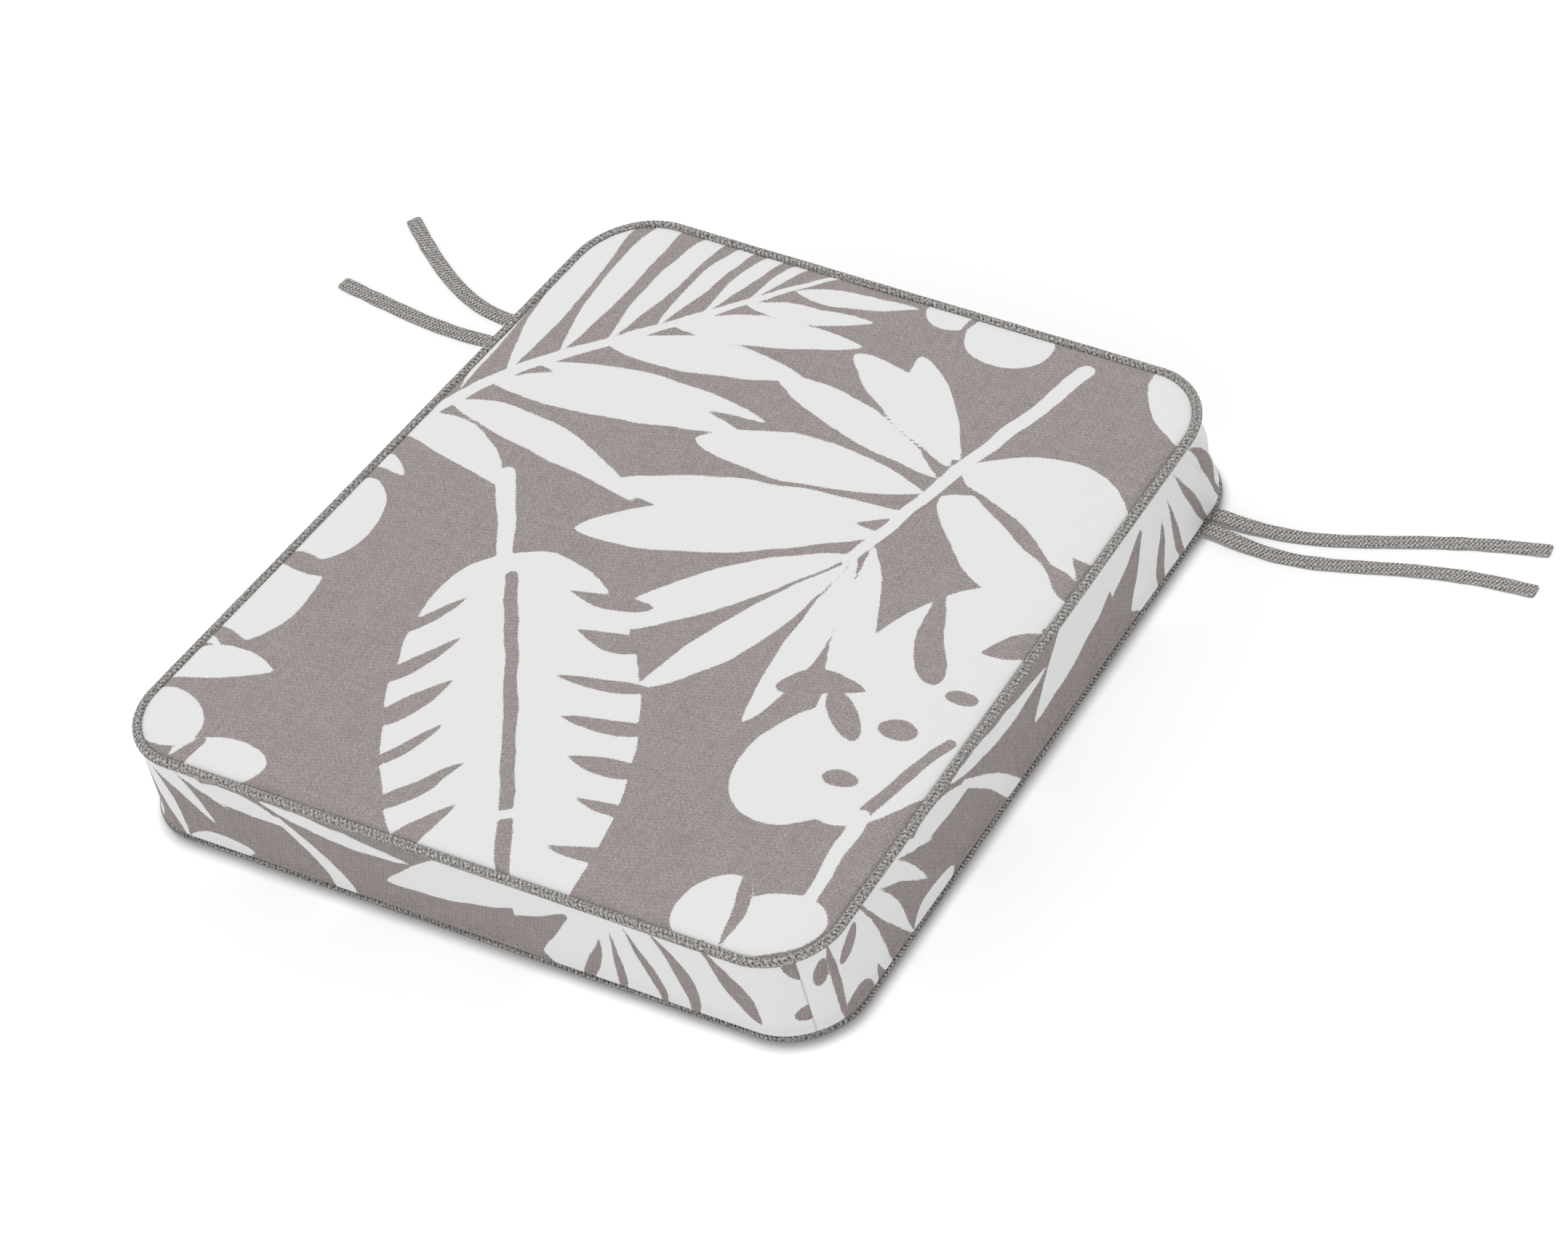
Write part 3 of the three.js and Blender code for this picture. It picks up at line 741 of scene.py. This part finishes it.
def inflate():
    """Blows up a coarse closed cover, held at its two seams, and gives how far each point moves."""
    n = GRID + 1
    plan = panel_plan(GRID, 0.0)
    rim = rim_numbers(GRID)
    flat = np.concatenate([plan, np.full((n, n, 1), TOP_Z)], -1).reshape(-1, 3)
    under = flat - [0, 0, RISE]
    rows = [flat[rim] * (1 - t) + under[rim] * t for t in np.linspace(0, 1, SIDE_ROWS + 1)[1:-1]]
    points = np.concatenate([flat, under] + rows)
    faces, loops = closed_faces(GRID, len(rows))
    mesh = bpy.data.meshes.new("blown")
    mesh.from_pydata([tuple(p) for p in points], [], faces)
    cover = bpy.data.objects.new("blown", mesh)
    scene = bpy.context.scene
    scene.collection.objects.link(cover)
    pins = cover.vertex_groups.new(name="seams")
    pins.add([int(k) for k in np.concatenate([rim, rim + n * n])], 1.0, "REPLACE")
    settings = cover.modifiers.new("cloth", "CLOTH").settings
    for key, value in CLOTH.items():
        setattr(settings, key, value)
    settings.vertex_group_mass = "seams"
    settings.effector_weights.gravity = 0
    for number in range(1, CLOTH_FRAMES + 1):
        scene.frame_set(number)
    shown = cover.evaluated_get(bpy.context.evaluated_depsgraph_get())
    blown = np.zeros(len(points) * 3)
    shown.data.vertices.foreach_get("co", blown)
    moved = blown.reshape(-1, 3) - points
    bpy.data.objects.remove(cover)
    scene.frame_set(1)
    out = edge(rim_distances(GRID))[1]
    side = np.stack([(moved[loop][:, :2] * out).sum(1) for loop in loops])
    top = moved[:n * n].reshape(n, n, 3)
    lift = top[..., 2]
    # The real pad is stuffed flat, so the swelling levels off
    top = top * 0.15
    top[..., 2] = TOP_CROWN * np.tanh(lift / TOP_CROWN * 0.8)
    return top, SIDE_BULGE * np.tanh(side / SIDE_BULGE * 0.6)


def cubic(field, place, axis, wrap=False):
    """Samples a grid along one axis at fractional places with a smooth cubic."""
    field = np.moveaxis(field, axis, 0)
    n = len(field)
    base = np.floor(place).astype(int)
    if not wrap:
        base = np.minimum(base, n - 2)
    t = (place - base).reshape((-1,) + (1,) * (field.ndim - 1))
    pick = [(base + k) % n if wrap else np.clip(base + k, 0, n - 1) for k in (-1, 0, 1, 2)]
    a, b, c, d = (field[k] for k in pick)
    made = b + 0.5 * t * (c - a + t * (2 * a - 5 * b + 4 * c - d + t * (3 * (b - c) + d - a)))
    return np.moveaxis(made, 0, axis)


def round_edge(s, out, z):
    """Points that stand out from the edge: rows at heights z, columns at distances s along it."""
    spot, normal = edge(s)
    points = np.empty(out.shape + (3,))
    points[..., :2] = spot[None] + normal[None] * out[..., None]
    points[..., 1] += MID_Y
    points[..., 2] = z
    return points


def canvas_piece(name, points, cloth, flip, material, node, picture, seam):
    """A grid of points covered with printed canvas, and the points' places on the flat cloth.

    picture is the print's distances in mm, and seam says how far each point is from a seam, which sets how
    much painted shade darkens it there.
    """
    faces = grid_faces(*cloth.shape[:2], flip=flip)
    return new_piece(name, points.reshape(-1, 3), faces.tolist(), material, node,
                     cloth.reshape(-1, 2)[faces.ravel()],
                     {"print": picture.ravel() * MM, "seam": seam.ravel()})


def pucker(depth, reach):
    """Strength of the puckers at a depth from the seam: none in it, most beside it, little far away."""
    return np.exp(-depth / reach) * np.clip((depth - 2.2 * MM) / (2 * MM), 0, 1)


def panel_piece(name, moved, z, facing, material, seed, node, relief=1.0):
    """A top or bottom panel: fine grid, tucked in at the piping, with the cloth's soft unevenness."""
    cells = GRID * FINE
    place = np.linspace(0, GRID, cells + 1)
    shift = cubic(cubic(moved, place, 0), place, 1)
    plan = panel_plan(cells, PANEL_INSET)
    inside = edge_distance(plan)
    xy = plan + shift[..., :2]
    tuck = TUCK * np.exp(-(inside - PANEL_INSET) / TUCK_REACH)
    tuck = tuck + CREASE * bell(inside - PANEL_INSET, CREASE)
    away = np.clip((inside - 6 * MM) / (30 * MM), 0, 1)
    soft = away * (0.35 * MM * waves(plan, 0.11, seed) + 0.14 * MM * waves(plan, 0.045, seed + 1))
    fine = 0.22 * MM * pucker(inside, 9 * MM) * waves(plan, 0.012, seed + 2)
    height = relief * (shift[..., 2] + soft + fine) - tuck
    if facing < 0:
        height = np.minimum(height, 0)
    points = np.concatenate([xy, (z + facing * height)[..., None]], -1)
    points[..., 1] += MID_Y
    # The last value is the distance that sets the painted seam shade
    piece = canvas_piece(name, points, plan, facing < 0, material, node,
                         top_print(plan * 1000 * [facing, 1]), inside - PANEL_INSET - 0.5 * MM)


def side_piece(name, start, stop, moved, material, seed, node, shift=0, folds=()):
    """A side strip between two distances along the edge.

    shift moves its print along. folds are [place along the edge, lean, width in mm, height in mm].
    """
    low, high = BOTTOM_Z + STRIP_END, TOP_Z - STRIP_END
    ends = np.array([0, 0.3, 0.7, 1.2, 2.0, 3.2]) * MM
    middle = np.arange(start + 5 * MM, stop - 5 * MM, 1.7 * MM)
    s = np.concatenate([start + ends, middle, stop - ends[::-1]])
    rows = max(8, int(round((high - low) / (1.6 * MM))))
    z = np.linspace(low, high, rows + 1)
    rim = np.append(rim_distances(GRID), MIDDLES[0] + PERIMETER) - MIDDLES[0]
    steps = np.interp(np.mod(s - MIDDLES[0], PERIMETER), rim, np.arange(4 * GRID + 1))
    level = (TOP_Z - z) / RISE * SIDE_ROWS
    bulge = cubic(cubic(moved, level, 0), steps, 1, wrap=True)
    depth = np.minimum(z - BOTTOM_Z, TOP_Z - z)[:, None]
    seam = np.minimum(s - start, stop - s)[None]
    grid = np.stack(np.broadcast_arrays(s[None], z[:, None]), -1)
    out = STRIP_OUT * (1 - np.exp(-depth / STRIP_REACH)) - STRIP_BEHIND
    above = z[:, None] - BOTTOM_Z
    out = out + SWELL * bell(above - SWELL_UP, SWELL_REACH)
    out = out + bulge - SEAM_DIP * bell(seam, SEAM_REACH)
    calm = np.clip((depth - 2.5 * MM) / (6 * MM), 0, 1)
    out = out + calm * (0.22 * MM * waves(grid * [1, 0.6], 0.05, seed))
    out = out + 0.2 * MM * pucker(depth, 8 * MM) * waves(grid * [1, 0.2], 0.011, seed + 1)
    share = np.clip(above / RISE, 0, 1)
    for at, lean, width, deep in folds:
        line = s[None] - at - lean * above
        out = out + deep * MM * np.sin(math.pi * share) ** 0.6 * bell(line, width * MM)
    points = round_edge(s, out, z[:, None])
    flat = np.stack(np.broadcast_arrays(s[None] - start, z[:, None] - (TOP_Z + BOTTOM_Z) / 2), -1)
    # Distance that sets the painted seam shade, from the piping's seams and from the strip's ends
    gap = np.minimum(depth - 1.9 * MM, np.maximum(seam, 0.85 * MM))
    canvas_piece(name, points, flat, False, material, node, boxing_print(flat * 1000 + [shift, 0]), gap)


# ---- piping and ties
RING_STEPS = 640
RING_SIDES = 20
# Radii of the piping as it shows at the top and at the bottom, and of the cord inside it
TOP_PIPING_R = 2.95 * MM
LOW_PIPING_R = 2.4 * MM
FILLER_R = 1.75 * MM
# The lower piping is pressed outward and down by this much
LOW_PIPING_SHIFT = 0.3 * MM
PIPING_LUMPS = 0.07 * MM
# Length in which the filler cord's strands turn once
STRAND_LAY = 9 * MM


def ring_piece(name, z, radius, material, node, lumps=0.0, strands=0, outward=0.0):
    """A closed tube round the whole edge."""
    count, sides = RING_STEPS, RING_SIDES
    s = np.linspace(0, PERIMETER, count, endpoint=False)
    spot, out = edge(s, -outward)
    turn = np.linspace(0, 2 * math.pi, sides, endpoint=False)
    reach = np.full((count, sides), radius)
    if lumps:
        along = circle(count) * PERIMETER / (2 * math.pi)
        reach += lumps * (waves(along, 0.02, 5) + 0.5 * waves(along, 0.007, 6))[:, None]
    if strands:
        twist = np.round(PERIMETER / STRAND_LAY) * 2 * math.pi * s / PERIMETER
        reach += 0.14 * radius * (np.abs(np.cos(strands / 2 * (turn[None] + twist[:, None]))) - 0.6)
    points = np.empty((count, sides, 3))
    points[..., :2] = spot[:, None] + out[:, None] * (reach * np.cos(turn))[..., None]
    points[..., 1] += MID_Y
    points[..., 2] = z + reach * np.sin(turn)
    i, j = np.meshgrid(np.arange(count), np.arange(sides), indexing="ij")
    k, m = (i + 1) % count, (j + 1) % sides
    faces = np.stack([i * sides + j, k * sides + j, k * sides + m, i * sides + m], -1).reshape(-1, 4)
    run = np.arange(count + 1) * (PERIMETER / count)
    girth = np.arange(sides + 1) * (2 * math.pi * radius / sides)
    uv = corner_places(run, girth, ((0, 0), (1, 0), (1, 1), (0, 1)))
    new_piece(name, points.reshape(-1, 3), faces.tolist(), material, node, uv)


TIE_WIDTH = 9.5 * MM
TIE_THICK = 1.5 * MM
END_ROUND = 1.6 * MM
# Heights in mm at which a tie's middle comes out of the seam and lies on the floor
EXIT_Z = 3.9
LAID_Z = 0.95
# Each tie's length in metres and the points of its route in mm, as in the CAD source
TIES = {
    "right_rear_tie": (0.208, [
        (222.8, 203, EXIT_Z), (229, 203.2, EXIT_Z), (243, 203.4, 2.8), (259, 204.8, 1.7),
        (280, 208, LAID_Z), (301, 213.5, LAID_Z), (326, 222.2, LAID_Z), (353, 232.2, LAID_Z),
        (388, 243.3, LAID_Z), (422, 251.5, LAID_Z)]),
    "right_front_tie": (0.213, [
        (223.6, 191.8, EXIT_Z), (229, 191.5, EXIT_Z), (243, 190.1, 2.8), (257, 189.4, 1.7),
        (271, 189.5, LAID_Z), (287, 190.9, LAID_Z), (304, 194.2, LAID_Z), (328, 200.9, LAID_Z),
        (356, 208.8, LAID_Z), (392, 216.2, LAID_Z), (431, 220, LAID_Z)]),
    "left_rear_tie": (0.186, [
        (-223.3, 196, EXIT_Z), (-229, 196, EXIT_Z), (-243, 193.8, 2.8), (-259, 190.8, 1.7),
        (-277, 189.4, LAID_Z), (-297, 191.1, LAID_Z), (-316, 196.3, LAID_Z), (-338, 206.4, LAID_Z),
        (-364, 222, LAID_Z), (-393, 242.3, LAID_Z)]),
    "left_front_tie": (0.183, [
        (-224.2, 183.6, EXIT_Z), (-229, 183.4, EXIT_Z), (-243, 179, 2.8), (-259, 173.4, 1.7),
        (-277, 170, LAID_Z), (-299, 168.4, LAID_Z), (-328, 169.4, LAID_Z), (-360, 173.2, LAID_Z),
        (-402, 179.3, LAID_Z)]),
}


def strap_section(width, thick):
    """A flat folded strap: rounded edges and faces that are a little full."""
    c, s = circle(24).T
    across = np.sign(c) * np.abs(c) ** 0.45 * width / 2
    up = np.sign(s) * np.abs(s) ** 0.6 * thick / 2
    return np.stack([across, up], -1)


def tie_piece(name, route, material):
    """One flat tie, which starts just inside the piping."""
    path = np.array(route, float) * MM
    path[:, 1] += MID_Y
    path = curve_through(path, 2.2 * MM)
    first = path[0] - (path[1] - path[0]) / np.linalg.norm(path[1] - path[0]) * 2.0 * MM
    last = (path[-1] - path[-2]) / np.linalg.norm(path[-1] - path[-2])
    close = [path[-1] - last * back for back in END_ROUND * np.array([1.0, 0.6, 0.3, 0.1])]
    path = np.vstack([first, path[:-1], close, path[-1:]])
    run = run_along(path)
    section = np.repeat(strap_section(TIE_WIDTH, TIE_THICK)[None], len(path), 0)
    section[..., 0] *= (1 + 0.03 * waves(run[:, None], 0.02, len(name)))[:, None]
    left = np.minimum(run[-1] - run, END_ROUND)
    missing = END_ROUND - np.sqrt(END_ROUND ** 2 - (END_ROUND - left) ** 2)
    section[..., 0] *= (1 - missing / (TIE_WIDTH / 2))[:, None]
    section[..., 1] *= (1 - 0.35 * missing / END_ROUND)[:, None]
    points, faces, uv = sweep(path, section)
    piece = new_piece(name + "_strap", points, faces, material, name, uv)


# ---- rear bands and zipper
slider_low, slider_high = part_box("zipper_slider")
ZIP_Z = (slider_low.z + slider_high.z) / 2
# Heights over the zipper's middle of the fold, and over the fold of the stitches
BAND_FOLD = 5.75 * MM
STITCH_UP = 2.2 * MM
# How far the stitches stand out from the edge, and how far the rows reach from the middle
STITCH_OUT = 0.72 * MM
STITCH_REACH = 172.2 * MM
# Radius of the fold
FOLD_R = 0.65 * MM
REAR_START, REAR_STOP = ENDS[2], STARTS[3]


def band_piece(name, sign, material, node):
    """Half of the rear strip, with its edge folded under beside the zipper."""
    fold = ZIP_Z + sign * BAND_FOLD
    seam = (TOP_Z if sign > 0 else BOTTOM_Z) - sign * STRIP_END
    height = abs(seam - fold)
    t = np.linspace(0, 1, 15)[:-1]
    away = t * (height - 0.75 * MM)
    rise = 0.9 * MM * (1 - np.exp(-away / (2.5 * MM))) - 0.5 * MM
    rise = rise + 0.9 * MM * np.sin(math.pi * t) ** 0.7
    stitched = height - away - STITCH_UP
    rise = rise - 0.25 * MM * bell(stitched, 0.8 * MM)
    face = np.stack([rise, seam - sign * away], -1)
    turn = np.linspace(0, math.pi, 7)
    middle_out = rise[-1] - FOLD_R
    curl = np.stack([middle_out + FOLD_R * np.cos(turn), fold + sign * FOLD_R * (1 - np.sin(turn))], -1)
    under = np.stack([np.full(5, middle_out - FOLD_R), fold + sign * np.linspace(1.8, 9, 5) * MM], -1)
    profile = np.concatenate([face, curl, under])
    run = run_along(profile)
    s = np.linspace(REAR_START - 0.2 * MM, REAR_STOP + 0.2 * MM, 206)
    cloth = np.stack(np.broadcast_arrays(s[None], run[:, None]), -1)
    points = round_edge(s, profile[:, :1] + 0.12 * MM * waves(cloth, 0.03, 61), profile[:, 1:])
    flat = np.stack(np.broadcast_arrays(s[None] - REAR_START, seam - sign * run[:, None] - ZIP_Z), -1)
    # The last value is the distance that sets the painted seam shade along the fold
    canvas_piece(name, points, flat, sign > 0, material, node, boxing_print(flat * 1000),
                 np.repeat(np.maximum(run - 0.9 * MM, 0), len(s)))


def stitch_row(name, start, stop, thread, length=2.5 * MM, pitch=3.1 * MM, radius=0.22 * MM):
    """A row of lock stitches between two points; the middle of each one stands proud."""
    start, stop = np.array(start, float), np.array(stop, float)
    ahead = (stop - start) / np.linalg.norm(stop - start)
    out = np.array([0, 1.0, 0])
    points, faces, uv = [], [], []
    section = radius * circle(6)
    for k in range(int(np.linalg.norm(stop - start) / pitch)):
        first = start + ahead * k * pitch
        path = [first + ahead * length * t + out * radius * 1.6 * (math.sin(math.pi * t) - 0.5)
                for t in np.linspace(0, 1, 5)]
        made, quads, place = sweep(path, section, up=out)
        faces += [[c + len(points) for c in quad] for quad in quads]
        points += list(made)
        uv += place
    new_piece(name, points, faces, thread, uv=uv)


def coil_piece(name, sign, material, node):
    """A nylon coil: a flattened helix whose heads stop short of the middle of the zipper."""
    low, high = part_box(node)
    pitch, wire, per_turn = 1.25 * MM, 0.36 * MM, 14
    turns = int((high.x - low.x - 2 * wire) / pitch)
    angle = np.linspace(0, 2 * math.pi * turns, turns * per_turn + 1)
    x = low.x + wire + pitch * (angle / (2 * math.pi) + (0.08 * np.sin(angle) if sign > 0 else 0.5))
    x = np.minimum(x, high.x - wire)
    z = ZIP_Z + sign * (2.2 * MM + 1.24 * MM * np.sign(np.cos(angle)) * np.abs(np.cos(angle)) ** 0.7)
    y = low.y + 0.95 * MM + 0.62 * MM * np.sin(angle)
    points, faces, uv = sweep(np.stack([x, y, z], -1), wire * circle(6), up=(1, 0.02, 0))
    new_piece(name, points, faces, material, node, uv)


def tape_piece(name, material, node):
    """One side of the zipper tape, slightly wavy."""
    low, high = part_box(node)
    x = np.linspace(low.x, high.x, 90)
    y = (low.y + high.y) / 2 + 0.06 * MM * waves(x[:, None], 0.03, 71)
    path = np.stack([x, y, np.full(len(x), (low.z + high.z) / 2)], -1)
    grow = 0.25 * MM
    path[:, 2] += grow / 2 if low.z < ZIP_Z - 5 * MM else -grow / 2
    wide, thick = (high.z - low.z + grow) / 2, (high.y - low.y) / 2
    corner = thick * 0.8
    section = []
    for across, up, start in ((1, 1, 0), (-1, 1, 90), (-1, -1, 180), (1, -1, 270)):
        for step in (0, 45, 90):
            turn = math.radians(start + step)
            section.append((across * (thick - corner) + corner * math.cos(turn),
                            up * (wide - corner) + corner * math.sin(turn)))
    points, faces, uv = sweep(path, section)
    new_piece(name, points, faces, material, node, uv)


# ---- what the cover hides
BLOCK_LUMPS = 0.6 * MM
WADDING_INSET = 10.2 * MM
WADDING_ROUND = 2.6 * MM


def block_piece(name, node, material, inset, edge_round, seed):
    """A closed pad with the cover's outline: rounded edges and softly uneven faces."""
    low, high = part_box(node)
    cells, lumps = 40, BLOCK_LUMPS
    s = rim_distances(cells)
    turns = np.linspace(0, math.pi / 2, 5)
    upper = [(high.z - edge_round * (1 - math.cos(a)), edge_round * (1 - math.sin(a))) for a in turns]
    lower = [(low.z + edge_round * (1 - math.cos(a)), edge_round * (1 - math.sin(a))) for a in turns[::-1]]
    plan = panel_plan(cells, inset + edge_round)
    top = np.concatenate([plan, np.full(plan.shape[:2] + (1,), high.z)], -1).reshape(-1, 3)
    top[:, 2] -= lumps * (0.6 + 0.4 * waves(top[:, :2], 0.06, seed))
    under = top.copy()
    under[:, 2] = low.z + lumps * (0.6 + 0.4 * waves(top[:, :2], 0.07, seed + 1))
    rings = [np.column_stack([edge(s, inset + inward)[0], np.full(len(s), z)])
             for z, inward in (upper + lower)[1:-1]]
    points = np.concatenate([top, under] + rings)
    points[:, 1] += MID_Y
    faces = closed_faces(cells, len(rings))[0]
    new_piece(name, points, faces, material, node)


def anchor_piece(name, node, material):
    """The sewn-in fold of a pair of ties, inside the bottom seam."""
    low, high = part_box(node)
    y = np.linspace(low.y + 0.2 * MM, high.y - 0.2 * MM, 24)
    x = np.full(len(y), (low.x + high.x) / 2)
    z = (low.z + high.z) / 2 + 0.05 * MM * waves(y[:, None], 0.008, 77)
    section = strap_section(high.x - low.x - 0.3 * MM, high.z - low.z - 0.3 * MM)
    points, faces, uv = sweep(np.stack([x, y, z], -1), section)
    new_piece(name, points, faces, material, node, uv)


# ---- build
look()
tweed_straight = tweed_finish("tie_tweed", TIE_WAVES)
for tie_name, (tie_length, tie_route) in TIES.items():
    tie_piece(tie_name, tie_route, tweed_straight)
studio()

tweed_bias = tweed_finish("piping_tweed", PIPING_WAVES, depth=0.96, regular=0.08, heather=1.3)
# Painted shade: the lower piping's tweed is 0.80 as bright, darker than the upper piping's 0.96, for the
# shade near the floor
painted_shade_lower_tweed = tweed_finish("lower_piping_tweed_painted_shade", PIPING_WAVES, 0.80, 0.9, regular=0.13, heather=1.2)
canvas = canvas_finish("printed_canvas_top")
# Painted shade: a copy of the canvas whose taupe ground is 0.88 as bright as the top's, for the side strips
# and rear bands
painted_shade_side_canvas = canvas_finish("printed_canvas_side_painted_shade", depth=0.88)
top_moved, side_moved = inflate()
panel_piece("top_cloth", top_moved, TOP_Z + TOP_LIFT, 1, canvas, 41, "top_panel")
panel_piece("bottom_cloth", top_moved * 0, BOTTOM_LIFT, -1, canvas, 47, "bottom_panel", relief=0.4)
side_piece("front_side_cloth", MIDDLES[0], MIDDLES[1], side_moved, painted_shade_side_canvas, 51, "front_boxing")
turn = STARTS[2]
right_folds = [(turn - 0.030, 0.10, 16, 0.9), (turn - 0.002, -0.2, 4, -1.0), (turn + 0.012, -0.4, 5, 0.9),
               (turn + 0.025, -0.55, 2.4, -1.3), (turn + 0.035, -0.6, 4.5, 1.0),
               (turn + 0.046, -0.65, 2.4, -1.4), (turn + 0.057, -0.7, 5, 0.9), (turn + 0.070, -0.7, 3, -1.0)]
side_piece("right_side_cloth", MIDDLES[1], ENDS[2], side_moved, painted_shade_side_canvas, 53, "right_boxing", -53,
           right_folds)
turn = ENDS[3]
left_folds = [(turn - 0.045, 0.12, 6, 0.9), (turn - 0.030, 0.06, 4.5, -1.3), (turn - 0.018, 0.0, 5, 1.3),
              (turn - 0.006, -0.06, 5, -1.3), (turn + 0.012, -0.15, 7, 0.8)]
side_piece("left_side_cloth", STARTS[3], MIDDLES[0] + PERIMETER, side_moved, painted_shade_side_canvas, 57, "left_boxing",
           60, left_folds)
ring_piece("top_piping", TOP_Z, TOP_PIPING_R, tweed_bias, "top_piping_cover",
           lumps=PIPING_LUMPS)
ring_piece("bottom_piping", BOTTOM_Z - LOW_PIPING_SHIFT, LOW_PIPING_R, painted_shade_lower_tweed, "bottom_piping_cover",
           lumps=PIPING_LUMPS, outward=LOW_PIPING_SHIFT)

for part, sign in (("upper", 1), ("lower", -1)):
    band_piece("rear_band_" + part + "_cloth", sign, painted_shade_side_canvas, "rear_band_" + part)
thread = plain_finish("thread", (0.50, 0.48, 0.46), (0.66, 0.64, 0.62), 3000, 0.7)
stitch_y = MID_Y + DEPTH / 2 + STITCH_OUT
for part, sign in (("upper", 1), ("lower", -1)):
    stitch_z = ZIP_Z + sign * (BAND_FOLD + STITCH_UP)
    stitch_row("stitches_" + part, (-STITCH_REACH, stitch_y, stitch_z), (STITCH_REACH, stitch_y, stitch_z),
               thread)
nylon = plain_finish("coil_nylon", (0.20, 0.185, 0.18), (0.27, 0.25, 0.24), 900, 0.35)
for part, sign in (("upper", 1), ("lower", -1)):
    coil_piece(part + "_coil_teeth", sign, nylon, "zipper_coil_" + part)
twill = tape_finish()
for part in ("upper", "lower"):
    tape_piece(part + "_tape_cloth", twill, "zipper_tape_" + part)
foam = plain_finish("foam_cells", (0.23, 0.225, 0.22), (0.33, 0.325, 0.31), 700, 0.95, 0.4 * MM)
fibre = plain_finish("wadding_fibre", (0.78, 0.78, 0.77), (0.88, 0.88, 0.87), 400, 0.98, 0.8 * MM)
block_piece("foam_block", "foam_core", foam, inset=2.4 * MM, edge_round=3 * MM, seed=81)
for part, seed, fill in (("top", 83, 0.7), ("bottom", 85, 0.5)):
    block_piece(part + "_wadding_sheet", part + "_wadding", fibre, WADDING_INSET, WADDING_ROUND,
                seed)
cotton = plain_finish("cotton_cord", (0.66, 0.63, 0.57), (0.78, 0.76, 0.70), 1200, 0.95)
for part, cord_z in (("top", TOP_Z), ("bottom", BOTTOM_Z)):
    ring_piece(part + "_filler_cord", cord_z, FILLER_R, cotton, part + "_piping_cord",
               strands=3)
for part in ("right", "left"):
    anchor_piece(part + "_anchor_fold", part + "_tie_anchor", tweed_straight)

metal = plain_finish("zipper_nickel", (0.15, 0.145, 0.14), (0.23, 0.225, 0.215), 350, 0.30, 0.03 * MM,
                     Metallic=1.0)
for node in ("zipper_slider", "zipper_pull"):
    part = bpy.data.objects[node]
    soften = part.modifiers.new("soften", "BEVEL")
    soften.width, soften.segments, soften.limit_method = 0.35 * MM, 3, "ANGLE"
    for place in part.material_slots:
        place.material = metal
